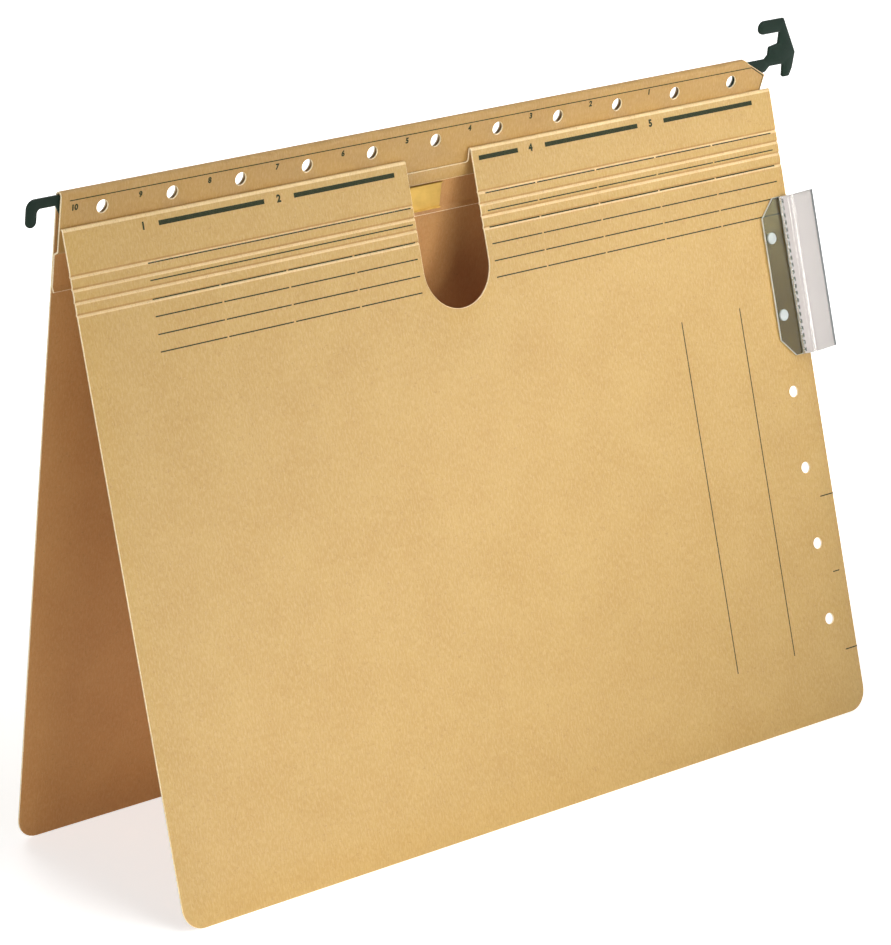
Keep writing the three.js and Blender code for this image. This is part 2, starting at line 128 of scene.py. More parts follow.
def makeSurface(tree, look, colour, rough=None, relief=None):
    # the look's shader: one pattern varies its roughness, one is pressed in to a height in mm
    settings, links = dict(look["shader"]), {}
    if isinstance(colour, str):
        settings["Base Color"] = srgb(colour)
    else:
        links["Base Color"] = colour
    if rough is None:
        settings["Roughness"] = look["roughness"]
    else:
        low, high, less, more = look["roughSpan"]
        span = {1: low, 2: high, 3: look["roughness"] + less, 4: look["roughness"] + more}
        links["Roughness"] = addNode(tree, "MapRange", span, {0: rough}).outputs[0]
    if relief is not None:
        strength, height = look["relief"]
        pressed = {"Strength": strength, "Distance": height * mm}
        links["Normal"] = addNode(tree, "Bump", pressed, {"Height": relief}).outputs[0]
    return addNode(tree, "BsdfPrincipled", settings, links)


# Kraft board, machine made and calendered: a warm tan with pale fibres lying one way, small dark
# flecks, and a faint sheen where the rollers pressed it smooth. Single fibres and the grain are
# too fine to show in a render, so both are drawn coarser than real
kraftLook = {
    "tan": "#c6a15a",
    "deepTan": "#bf9850",
    "paleTan": "#d9b980",
    "fleck": "#a67c44",
    "cloudSize": 22.0,
    "cloudReach": (0.3, 0.7, 1.0),
    "fibreLength": 1.8,
    "fibreWidth": 0.6,
    "fibreReach": (0.42, 0.72, 0.45),
    "fleckSize": 0.9,
    "fleckReach": (0.58, 0.74, 0.45),
    "grainSize": 0.5,
    "roughness": 0.5,
    "roughSpan": (0.3, 0.7, -0.05, 0.08),
    "relief": (0.6, 0.03),
    "shader": {"IOR": 1.5, "Specular IOR Level": 0.6},
}

# painted highlight: the top of the fold and the short up-facing flank of each score, drawn paler
scoredHighlightLook = {"tan": "#e9cc98", "deepTan": "#dfbf86", "paleTan": "#f2dcb0"}

# painted shade: the long flank running down into a score faces down and is drawn a little darker
flankShadeLook = {"tan": "#b48a48", "deepTan": "#ac8040", "paleTan": "#c6a068"}

# painted shade: the back cover is the front's board, facing a little down, and drawn a deeper brown
backShadeLook = {"tan": "#b99250", "deepTan": "#b28a4a", "paleTan": "#cba874"}

# the board's inner side is rougher than its outer side; drawn redder and darker as painted shade
innerShadeLook = {"tan": "#c89356", "deepTan": "#bf884c", "paleTan": "#d2a56d", "roughness": 0.65}


def kraftBoard(name, look):
    material, tree, place = newMaterial(name, onSheetMap=True)
    at = {"Vector": place}
    cloud = addNode(
        tree, "TexNoise", {"Scale": perMm(look["cloudSize"]), "Detail": 4.0, "Roughness": 0.6}, at
    )
    laid = addNode(
        tree, "Mapping", {"Scale": (perMm(look["fibreWidth"]), perMm(look["fibreLength"]), 1)}, at
    )
    fibre = addNode(
        tree,
        "TexNoise",
        {"Scale": 1.0, "Detail": 3.0, "Roughness": 0.55, "Distortion": 0.6},
        {"Vector": laid.outputs[0]},
    )
    grain = addNode(
        tree, "TexNoise", {"Scale": perMm(look["grainSize"]), "Detail": 3.0, "Roughness": 0.7}, at
    )
    fleck = addNode(
        tree, "TexNoise", {"Scale": perMm(look["fleckSize"]), "Detail": 2.0, "Distortion": 1.5}, at
    )
    toned = tint(tree, cloud.outputs[0], look["cloudReach"], look["tan"], look["deepTan"])
    streaked = tint(tree, fibre.outputs[0], look["fibreReach"], toned, look["paleTan"])
    flecked = tint(tree, fleck.outputs[0], look["fleckReach"], streaked, look["fleck"])
    height = addNode(tree, "Math", {"operation": "ADD"}, {0: grain.outputs[0], 1: fibre.outputs[0]})
    shader = makeSurface(tree, look, flecked, grain.outputs[0], height.outputs[0])
    closeMaterial(tree, shader)
    return material


# The sheared edge of the board: paler than its face, with the fibres torn open. Its grain is too
# fine to show, and is drawn as coarse as the face's
edgeLook = {
    "base": "#fdecc9",
    "mottle": "#f1d9a8",
    "grainSize": 0.5,
    "noise": {"Detail": 3.0},
    "reach": (0.4, 0.7, 1.0),
    "roughness": 0.8,
    "relief": (0.5, 0.03),
    "shader": {"IOR": 1.5},
}

# Offset ink on kraft: a thin dark green film that takes the board's grain and breaks up a little
inkLook = {
    "base": "#2f3625",
    "mottle": "#474830",
    "grainSize": 0.5,
    "noise": {"Detail": 3.0, "Roughness": 0.7},
    "reach": (0.5, 0.75, 1.0),
    "roughness": 0.7,
    "shader": {"IOR": 1.5, "Specular IOR Level": 0.15},
}

# The punched edge of the PET sheet: frosted, so that it catches the light as a pale line. The
# frosting is too fine to show, and is drawn coarser than real
frostLook = {
    "base": "#dcded8",
    "grainSize": 0.3,
    "noise": {"Detail": 2.0},
    "roughness": 0.5,
    "relief": (0.4, 0.02),
    "shader": {"IOR": 1.57},
}

# painted shade: where the folds of the pocket are seen on end, the clear sheet is drawn grey
foldShadeLook = {"base": "#5f6468"}

# the moulded studs are smooth and glossy, and a little milky
studLook = {"base": "#c4cac6", "roughness": 0.12}

# White label card, uncoated: matt, with a soft fibre cloud
cardLook = {
    "base": "#bbb0af",
    "mottle": "#afa4a3",
    "grainSize": 3.0,
    "noise": {"Detail": 5.0},
    "reach": (0.0, 1.0, 1.0),
    "roughness": 0.75,
    "relief": (0.3, 0.02),
    "shader": {"IOR": 1.5},
}


def mottledFinish(name, look):
    # one colour, or two in soft clouds, and a relief of the same grain
    material, tree, place = newMaterial(name)
    clouds = {"Scale": perMm(look["grainSize"]), **look["noise"]}
    grain = addNode(tree, "TexNoise", clouds, {"Vector": place}).outputs[0]
    colour = look["base"]
    if "mottle" in look:
        colour = tint(tree, grain, look["reach"], colour, look["mottle"])
    relief = grain if "relief" in look else None
    closeMaterial(tree, makeSurface(tree, look, colour, relief=relief))
    return material


# Stoved lacquer on stamped steel: dark green, half gloss, with a fine orange peel
lacquerLook = {
    "green": "#14261d",
    "worn": "#22352b",
    "peelSize": 1.4,
    "scuffSize": 6.0,
    "scuffReach": (0.5, 0.8, 0.6),
    "roughness": 0.42,
    "roughSpan": (0.3, 0.7, -0.06, 0.1),
    "relief": (0.5, 0.02),
    "shader": {"IOR": 1.52, "Specular IOR Level": 0.14},
}


def stovedLacquer(name, look):
    material, tree, place = newMaterial(name)
    at = {"Vector": place}
    peel = addNode(tree, "TexNoise", {"Scale": perMm(look["peelSize"]), "Detail": 1.0}, at)
    scuff = addNode(
        tree, "TexNoise", {"Scale": perMm(look["scuffSize"]), "Detail": 6.0, "Roughness": 0.75}, at
    )
    toned = tint(tree, scuff.outputs[0], look["scuffReach"], look["green"], look["worn"])
    shader = makeSurface(tree, look, toned, scuff.outputs[0], peel.outputs[0])
    closeMaterial(tree, shader)
    return material


# Rolled brass-plated strip under a matt lacquer: warm yellow, with rolling lines along it, which
# are too fine to show and are drawn coarser than real
brassLook = {
    "brass": "#e0b95f",
    "dull": "#d2aa53",
    "lineWidth": 0.12,
    "lineLength": 9.0,
    "stainSize": 5.0,
    "stainReach": (0.4, 0.7, 1.0),
    "roughness": 0.5,
    "roughSpan": (0.3, 0.7, -0.08, 0.1),
    "relief": (0.4, 0.01),
    "shader": {"Metallic": 0.5},
}


def rolledBrass(name, look):
    material, tree, place = newMaterial(name)
    width = perMm(look["lineWidth"])
    along = addNode(
        tree, "Mapping", {"Scale": (perMm(look["lineLength"]), width, width)}, {"Vector": place}
    )
    lines = addNode(tree, "TexNoise", {"Scale": 1.0, "Detail": 3.0}, {"Vector": along.outputs[0]})
    stain = addNode(
        tree, "TexNoise", {"Scale": perMm(look["stainSize"]), "Detail": 4.0}, {"Vector": place}
    )
    toned = tint(tree, stain.outputs[0], look["stainReach"], look["brass"], look["dull"])
    shader = makeSurface(tree, look, toned, lines.outputs[0], lines.outputs[0])
    closeMaterial(tree, shader)
    return material


# Clear PET sheet, hot bent: it shows what lies behind it, slightly greyed, with hairline scratches
# that are too fine to show and are drawn wider than real
petLook = {
    "tint": "#f4f6f3",
    "lightTint": "#f2f2f0",
    "scratchWidth": 0.15,
    "scratchLength": 4.0,
    "roughness": 0.1,
    "roughSpan": (0.5, 0.75, 0.0, 0.12),
    "relief": (0.1, 0.01),
    "shader": {"IOR": 1.57, "Specular IOR Level": 0.08, "Transmission Weight": 1.0},
}

# the flange is thicker and darkens the board behind it to a smoky olive
flangeLook = {"tint": "#9e9d78", "lightTint": "#a8a586"}


def clearPet(name, look):
    material, tree, place = newMaterial(name)
    width = perMm(look["scratchWidth"])
    along = addNode(
        tree, "Mapping", {"Scale": (width, width, perMm(look["scratchLength"]))}, {"Vector": place}
    )
    scratch = addNode(tree, "TexNoise", {"Scale": 1.0, "Detail": 2.0}, {"Vector": along.outputs[0]})
    shader = makeSurface(tree, look, look["tint"], scratch.outputs[0], scratch.outputs[0])
    # lamps shine through the sheet, dimmed by its tint, so that what lies behind it is lit
    through = addNode(tree, "BsdfTransparent", {"Color": srgb(look["lightTint"])})
    shadow = addNode(tree, "LightPath").outputs["Is Shadow Ray"]
    both = addNode(
        tree, "MixShader", links={0: shadow, 1: shader.outputs[0], 2: through.outputs[0]}
    )
    closeMaterial(tree, both)
    return material


boardFace = kraftBoard("kraft_board_calendered", kraftLook)
boardEdge = mottledFinish("kraft_board_sheared_edge", edgeLook)
printInk = mottledFinish("offset_ink_dark_green", inkLook)
greenSteel = stovedLacquer("steel_stoved_green_lacquer", lacquerLook)
brassStrip = rolledBrass("brass_rolled_strip", brassLook)
clearSheet = clearPet("pet_sheet_hot_bent", petLook)
flangeSheet = clearPet("pet_flange_smoke", {**petLook, **flangeLook})
clearEdge = mottledFinish("pet_punched_edge_frosted", frostLook)
# clear sheet drawn grey as painted shade, for the pocket's folds seen on end
foldEdgeShade = mottledFinish("pet_pocket_edge_painted_shade", {**frostLook, **foldShadeLook})
studFace = mottledFinish("pet_stud_moulded", {**frostLook, **studLook})
cardFace = mottledFinish("label_card_uncoated", cardLook)
# a copy of the board with a painted highlight, for the scores and the top of the fold
scoredHighlightFace = kraftBoard("kraft_board_scored_painted_highlight", {**kraftLook, **scoredHighlightLook})
# a copy of the board with painted shade, for the long flank of each score
flankShadeFace = kraftBoard("kraft_board_score_flank_painted_shade", {**kraftLook, **flankShadeLook})
# a copy of the board with painted shade, for the back cover and the flap in the finger cut
backShadeFace = kraftBoard("kraft_board_back_sheet_painted_shade", {**kraftLook, **backShadeLook})
# a copy of the board with painted shade, for the inner side
innerShadeFace = kraftBoard("kraft_board_inner_side_painted_shade", {**kraftLook, **innerShadeLook})
print("materials made")


# How far on the inner side of a sheet lies in the sheet map, past every run of its outer side
innerRun = 1000

# Faces that meet at more than this many degrees show an edge, where a piece says nothing else
edgeAngle = 35

# A fully rounded end stops this short of a half circle, so that its two fillets stay apart
fullRound = 0.01


def roundedLoop(corners, arcStep=12.0):
    # closed loop of points through corners (x, y, fillet radius)
    loop = []
    count = len(corners)
    for i, corner in enumerate(corners):
        here = Vector(corner[:2])
        radius = corner[2] if len(corner) > 2 else 0.0
        if radius == 0.0:
            loop.append(tuple(here))
            continue
        before = (Vector(corners[i - 1][:2]) - here).normalized()
        after = (Vector(corners[(i + 1) % count][:2]) - here).normalized()
        half = math.acos(max(-1.0, min(1.0, before.dot(after)))) / 2
        centre = here + (before + after).normalized() * radius / math.sin(half)
        start = here + before * radius / math.tan(half) - centre
        turn = math.pi - 2 * half
        if before.x * after.y - before.y * after.x > 0:
            turn = -turn
        steps = max(2, math.ceil(math.degrees(abs(turn)) / arcStep))
        for k in range(steps + 1):
            spin = Matrix.Rotation(turn * k / steps, 2)
            loop.append(tuple(centre + spin @ start))
    return loop


def boxLoop(left, low, right, high, radius=0.0):
    return roundedLoop(
        [(left, low, radius), (right, low, radius), (right, high, radius), (left, high, radius)]
    )


def circleLoop(x, y, radius, count=28):
    turns = [2 * math.pi * i / count for i in range(count)]
    return [(x + radius * math.cos(t), y + radius * math.sin(t)) for t in turns]


def insetLoop(loop, distance, inward):
    points = np.array(loop)
    into = points - np.roll(points, 1, axis=0)
    into /= np.linalg.norm(into, axis=1)[:, None]
    away = np.roll(into, -1, axis=0)
    middle = into + away
    middle /= np.linalg.norm(middle, axis=1)[:, None]
    # a sharp corner moves no further than this lets it
    leastShare = 0.3
    reach = distance / np.maximum(leastShare, (middle * into).sum(axis=1))
    x, y = points[:, 0], points[:, 1]
    area = np.sum(x * np.roll(y, -1) - np.roll(x, -1) * y)
    side = (1 if area > 0 else -1) * (1 if inward else -1)
    moved = points + side * np.column_stack([-middle[:, 1], middle[:, 0]]) * reach[:, None]
    return [tuple(p) for p in moved]


def insideLoop(points, loop):
    inside = np.zeros(len(points), bool)
    x, y = points[:, 0], points[:, 1]
    for (x0, y0), (x1, y1) in zip(loop, loop[1:] + loop[:1]):
        if y0 == y1:
            continue
        crosses = (y0 > y) != (y1 > y)
        inside ^= crosses & (x < (x1 - x0) * (y - y0) / (y1 - y0) + x0)
    return inside


def rimDistance(points, loops):
    nearest = np.full(len(points), np.inf)
    for loop in loops:
        ends = np.array(loop)
        steps = np.roll(ends, -1, axis=0) - ends
        for start, step in zip(ends, steps):
            t = np.clip((points - start) @ step / (step @ step), 0, 1)
            gap = points - start - t[:, None] * step
            nearest = np.minimum(nearest, np.hypot(gap[:, 0], gap[:, 1]))
    return nearest


def bentLine(corners, arcStep=15.0):
    # a bent line through corners (p, q, bend radius): length run, place and heading at each step
    spots = [Vector(c[:2]) for c in corners]
    ways = [(b - a).normalized() for a, b in zip(spots, spots[1:])]
    heading = math.atan2(ways[0].y, ways[0].x)
    rows = [(0.0, spots[0].x, spots[0].y, heading)]
    for i in range(1, len(spots) - 1):
        turn = math.atan2(
            ways[i - 1].x * ways[i].y - ways[i - 1].y * ways[i].x, ways[i - 1].dot(ways[i])
        )
        radius = corners[i][2]
        back = radius * math.tan(abs(turn) / 2)
        entry = spots[i] - ways[i - 1] * back
        rows.append((rows[-1][0] + (entry - Vector(rows[-1][1:3])).length, *entry, heading))
        side = math.copysign(1, turn)
        centre = entry + Vector((-ways[i - 1].y, ways[i - 1].x)) * radius * side
        steps = max(1, math.ceil(math.degrees(abs(turn)) / arcStep))
        for k in range(1, steps + 1):
            spot = centre + Matrix.Rotation(turn * k / steps, 2) @ (entry - centre)
            run = rows[-1][0] + radius * abs(turn) / steps
            rows.append((run, *spot, heading + turn * k / steps))
        heading += turn
    rows.append((rows[-1][0] + (spots[-1] - Vector(rows[-1][1:3])).length, *spots[-1], heading))
    return np.array(rows)


def flatNet(outer, holes, rims, alongCuts, runCuts, rounding):
    # triangles of a flat sheet that follow its outline, holes, rounded rims and bend lines
    insets = [rounding * (1 - math.cos(math.radians(a))) for a in (45, 90)]
    points, edges = [], []

    def addLoop(loop):
        first = len(points)
        points.extend(loop)
        edges.extend((first + i, first + (i + 1) % len(loop)) for i in range(len(loop)))

    for loop in [outer, *holes]:
        addLoop(loop)
    for i, rim in enumerate(rims):
        for inset in insets:
            addLoop(insetLoop(rim, inset, i == 0))
    margin = 1
    low = np.min(np.array(points), axis=0) - margin
    high = np.max(np.array(points), axis=0) + margin
    cuts = [[(u, low[1]), (u, high[1])] for u in alongCuts]
    cuts += [[(low[0], run), (high[0], run)] for run in runCuts]
    for cut in cuts:
        points += cut
        edges.append((len(points) - 2, len(points) - 1))
    weld = 1e-5
    made = delaunay_2d_cdt([Vector(p) for p in points], edges, [], 0, weld)
    flat = np.array([tuple(v) for v in made[0]])
    faces = np.array([tuple(f) for f in made[2]])
    middles = flat[faces].mean(axis=1)
    keep = insideLoop(middles, outer)
    for hole in holes:
        keep &= ~insideLoop(middles, hole)
    faces = faces[keep]
    used = np.unique(faces)
    newIndex = np.full(len(flat), -1)
    newIndex[used] = np.arange(len(used))
    return flat[used], newIndex[faces]


def openEdges(faces):
    edges = {}
    for face in faces:
        for a, b in zip(face, np.roll(face, -1)):
            edges[(int(a), int(b))] = True
    return [(a, b) for a, b in edges if (b, a) not in edges]


# A sheet is bent from flat: "line" is its bent section, "side" the way its outer side faces,
# "order" how length and section lie in its frame, "outer" and "holes" its flat outline, and
# "alongCuts" and "runCuts" the lines that divide its mesh


def onSheet(sheet, along, run, lift):
    # points on a bent sheet, lift above its middle surface, in metres
    line = sheet["line"]
    p, q, heading = (np.interp(run, line[:, 0], line[:, k]) for k in (1, 2, 3))
    side = sheet.get("side", 1)
    if "ripple" in sheet:
        lift = lift + sheet["ripple"](run)
    spots = [along, p - np.sin(heading) * lift * side, q + np.cos(heading) * lift * side]
    local = np.column_stack([spots[i] for i in sheet.get("order", (0, 1, 2))] + [np.ones(len(p))])
    return (local @ np.array(sheet["frame"]).T)[:, :3]


def sheetSpot(sheet, along, run):
    # one place on the middle surface of a sheet
    return onSheet(sheet, np.full(1, along), np.full(1, run), np.zeros(1))[0]


def makePiece(name, points, faces, slots, faceSlots, places=None, sharp=edgeAngle):
    mesh = bpy.data.meshes.new(name)
    mesh.from_pydata([tuple(p) for p in points], [], [tuple(int(i) for i in f) for f in faces])
    for material in slots:
        mesh.materials.append(material)
    mesh.polygons.foreach_set("material_index", np.array(faceSlots, np.int32))
    mesh.polygons.foreach_set("use_smooth", np.ones(len(faces), bool))
    if places is not None:
        layer = mesh.uv_layers.new(name="sheetMap")
        corner = np.array([loop.vertex_index for loop in mesh.loops])
        layer.data.foreach_set("uv", (places[corner] * mm).astype(np.float32).ravel())
    net = bmesh.new()
    net.from_mesh(mesh)
    bmesh.ops.recalc_face_normals(net, faces=net.faces)
    net.to_mesh(mesh)
    net.free()
    mesh.set_sharp_from_angle(angle=math.radians(sharp))
    piece = bpy.data.objects.new(name, mesh)
    bpy.context.scene.collection.objects.link(piece)
    return piece


def bentSheet(name, sheet, slots):
    outer = sheet["outer"]
    holes = sheet.get("holes", [])
    rims = [sheet.get("rimLoop", outer), *holes]
    rounding = sheet["rounding"]
    runCuts = [*sheet["line"][:, 0], *sheet.get("runCuts", [])]
    flat, faces = flatNet(outer, holes, rims, sheet.get("alongCuts", []), runCuts, rounding)
    into = rounding - np.minimum(rimDistance(flat, rims), rounding)
    half = np.full(len(flat), sheet["thickness"] / 2)
    half -= rounding - np.sqrt(np.maximum(0, rounding**2 - into**2))
    front = onSheet(sheet, flat[:, 0], flat[:, 1], half)
    back = onSheet(sheet, flat[:, 0], flat[:, 1], -half)
    count = len(flat)
    walls = [(a, b, b + count, a + count) for a, b in openEdges(faces)]
    allFaces = [*faces, *(faces[:, ::-1] + count), *walls]
    edgeSlot = sheet.get("edgeSlot", len(slots) - 1)
    onRim = rimDistance(flat[faces].mean(axis=1), rims) < rounding
    innerSlot = sheet.get("innerSlot", 0)
    faceSlots = [*np.where(onRim, edgeSlot, 0), *np.where(onRim, edgeSlot, innerSlot)]
    faceSlots += [edgeSlot] * len(walls)
    places = np.vstack([flat, flat + (0, innerRun)])
    points = np.vstack([front, back])
    sharp = sheet.get("sharp", edgeAngle)
    return makePiece(name, points, allFaces, slots, faceSlots, places, sharp)


def recolourBands(piece, bands, slot, before=0):
    # faces of the slot before whose run lies in one of the bands take the new slot's material
    mesh = piece.data
    places = mesh.uv_layers["sheetMap"].data
    for face in mesh.polygons:
        runs = [places[i].uv[1] / mm for i in face.loop_indices]
        middle = sum(runs) / len(runs)
        if face.material_index == before and any(low < middle < high for low, high in bands):
            face.material_index = slot


def evenSteps(start, stop, step):
    count = max(1, round((stop - start) / step))
    return [start + (stop - start) * i / count for i in range(count + 1)]


# Holes that run along the spine and down the front cover's side
holeRows = {
    "spineFirst": 16.7,
    "spinePitch": 28.24,
    "spineCount": 11,
    "spineRise": 5.5,
    "sleeveRadius": 2.2,
    "rearRadius": 3.2,
    "railRadius": 3.4,
    "railLastRadius": 2.6,
    "sideFirst": 52.9,
    "sidePitch": 28.24,
    "sideCount": 6,
    "sideInset": 11.7,
    "sideRadius": 2.0,
}

# Back cover and sleeve: one sheet up behind the rail, over its top, down in front and glued below
backSheet = {
    "rearDepth": 2.7,
    "frontDepth": 0.3,
    "hemDepth": 2.07,
    "top": 12.4,
    "bend": 1.2,
    "stepTop": -7.6,
    "stepBottom": -8.8,
    "stepRadius": 0.9,
    "hemBottom": -21.7,
    "hemLift": 0.9,
    "hemLiftRise": 1.9,
    "neckInset": 3.3,
    "neckCutStart": 305.0,
    "neckCutRise": 5.9,
    "neckCutCorner": 316.2,
    "rounding": 0.18,
    "netStep": 20,
    "netRuns": (20, 200),
}


def makeBackCover(look):
    width = folder["coverWidth"]
    low = -folder["backHeight"]
    line = bentLine(
        [
            (look["rearDepth"], low),
            (look["rearDepth"], look["top"], look["bend"]),
            (look["frontDepth"], look["top"], look["bend"]),
            (look["frontDepth"], look["stepTop"], look["stepRadius"]),
            (look["hemDepth"], look["stepBottom"], look["stepRadius"]),
            (look["hemDepth"], look["hemBottom"] + look["hemLiftRise"], look["stepRadius"]),
            (look["hemDepth"] - look["hemLift"], look["hemBottom"]),
        ]
    )
    end = line[-1, 0]
    bendStart = look["top"] - look["bend"] - low
    bendEnd = bendStart + math.pi * look["bend"]
    neck = width - look["neckInset"]
    slope = (look["neckCutStart"] - look["neckCutCorner"]) / (look["top"] - look["neckCutRise"])
    atBend = look["neckCutCorner"] + slope * (look["top"] - look["bend"] - look["neckCutRise"])
    frontRun = lambda w: bendEnd + look["top"] - look["bend"] - w
    hemRise = look["hemBottom"] - low
    outer = roundedLoop(
        [
            (0, 0, folder["cornerRadius"]),
            (width, 0, folder["cornerRadius"]),
            (width, hemRise - look["neckInset"]),
            (neck, hemRise),
            (neck, -low),
            (look["neckCutCorner"], look["neckCutRise"] - low),
            (atBend, bendStart),
            (look["neckCutStart"], (bendStart + bendEnd) / 2),
            (atBend, bendEnd),
            (look["neckCutCorner"], frontRun(look["neckCutRise"])),
            (neck, frontRun(0)),
            (neck, end),
            (0, end),
        ]
    )
    holes = []
    for i in range(holeRows["spineCount"]):
        u = holeRows["spineFirst"] + i * holeRows["spinePitch"]
        holes.append(circleLoop(u, holeRows["spineRise"] - low, holeRows["rearRadius"]))
        holes.append(circleLoop(u, frontRun(holeRows["spineRise"]), holeRows["sleeveRadius"]))
    sheet = {
        "line": line,
        "side": -1,
        "frame": spineFrame,
        "outer": outer,
        "holes": holes,
        "thickness": folder["boardThickness"],
        "rounding": look["rounding"],
        "alongCuts": evenSteps(0, width, look["netStep"]),
        "runCuts": evenSteps(*look["netRuns"], look["netStep"]),
        "frontRun": frontRun,
        "edgeSlot": 1,
        "innerSlot": 2,
    }
    piece = bentSheet("back_cover_board", sheet, [backShadeFace, boardEdge, innerShadeFace])
    # painted shade: the hem below the step, in shade behind the bar, takes the inner side's colour
    recolourBands(piece, [(frontRun(look["stepBottom"]), end)], 2)
    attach(piece, "spine")
    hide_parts("back_cover")
    return sheet


strip = makeBackCover(backSheet)
print("back cover made")


# Rail: stamped plate with the plain hook at the left and the two-way hook at the right
railPlate = {
    "front": 0.9,
    "back": 2.1,
    "rounding": 0.3,
    "runs": (-30.0, 30.0),
    "alongCuts": (20, 300, 20),
    "arcStep": 9,
    "sharp": 50,
    # along, rise and corner radius: from the left foot round both hooks to the right foot
    "outline": [
        (1.0, -7), (1.0, 4.5, 0.4), (-1.1, 8.2, 0.4), (-8.4, 8.2, 1.4), (-8.4, 2.2, 1.95),
        (-12.4, 2.2, 1.95), (-12.4, 11.7, 3.2), (0, 11.7, 0.4), (0.6, 11.2),
        (316.6, 11.2, 0.4), (318, 12.5, 0.4), (318, 15.6, 0.4), (322.5, 16.4, 0.4),
        (322.5, 20.9, 0.4), (311.5, 20.9, 2.5), (311.5, 26, 2.5), (323.7, 26, 0.4),
        (331.8, 12.1, 0.8), (331.3, 6, 0.8), (330.2, 3, 0.8), (326.7, 3, 0.8),
        (326.2, 8.2, 0.8), (319.2, 8.2, 0.8), (317.4, 6.4, 0.4), (313.7, 5.6), (313.7, -7),
    ],
}


def makeRail(look):
    middle = (look["front"] + look["back"]) / 2
    outer = roundedLoop([(c[0], -c[1], *c[2:]) for c in look["outline"]], look["arcStep"])
    last = holeRows["spineCount"] - 1
    holes = [
        circleLoop(
            holeRows["spineFirst"] + i * holeRows["spinePitch"],
            -holeRows["spineRise"],
            holeRows["railLastRadius"] if i == last else holeRows["railRadius"],
        )
        for i in range(last + 1)
    ]
    line = bentLine([(middle, -run) for run in look["runs"]])
    line[:, 0] += look["runs"][0]
    sheet = {
        "line": line,
        "side": -1,
        "frame": spineFrame,
        "outer": outer,
        "holes": holes,
        "thickness": look["back"] - look["front"],
        "rounding": look["rounding"],
        "alongCuts": evenSteps(*look["alongCuts"]),
        "sharp": look["sharp"],
    }
    piece = bentSheet("hook_rail_plate", sheet, [greenSteel])
    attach(piece, "spine")
    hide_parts("rail")


makeRail(railPlate)
print("rail made")


# Front cover: flap glued to the sleeve, rounded top fold, four scored creases, finger cut
frontSheet = {
    "foldRadius": 0.45,
    "foldSteps": 12,
    "foldSide": 0.6,
    "flapDepth": 9.2,
    "flapShoulder": 0.4,
    "flapNotch": 4.35,
    "flapInset": 0.8,
    "flapTaper": 3.2,
    "notchRadius": 1.0,
    "seam": 8.0,
    "seamOverlap": 4.0,
    "cutCentre": 158.3,
    "cutWidth": 29.5,
    "cutDepth": 52.3,
    "creases": [15.0, 19.15, 23.3, 27.45],
    "creaseDepth": 0.4,
    "creaseFall": 1.2,
    "creaseClimb": 0.55,
    "creaseFallCuts": 6,
    "creaseClimbCuts": 5,
    "creaseMargin": 1.5,
    "highlightReach": 0.35,
    "foldHighlightRun": 0.5,
    "rounding": 0.18,
    "foldCuts": (20, 300, 20),
    "boardCuts": (15, 300, 15),
    "boardRunCuts": (35, 215, 15),
    "cutArcStep": 6,
}


def creaseRipple(run):
    # each crease is a score pressed in from the front: a long flank down to it and a short one up
    look = frontSheet
    height = np.zeros(len(run))
    for crease in look["creases"]:
        bottom = crease - look["creaseClimb"] / 2
        down = np.clip((run - bottom) / look["creaseFall"] + 1, 0, 1)
        up = np.clip((run - bottom) / look["creaseClimb"], 0, 1)
        smoothUp = up * up * (3 - 2 * up)
        height -= look["creaseDepth"] * np.where(run < bottom, down**2, 1 - smoothUp)
    return height


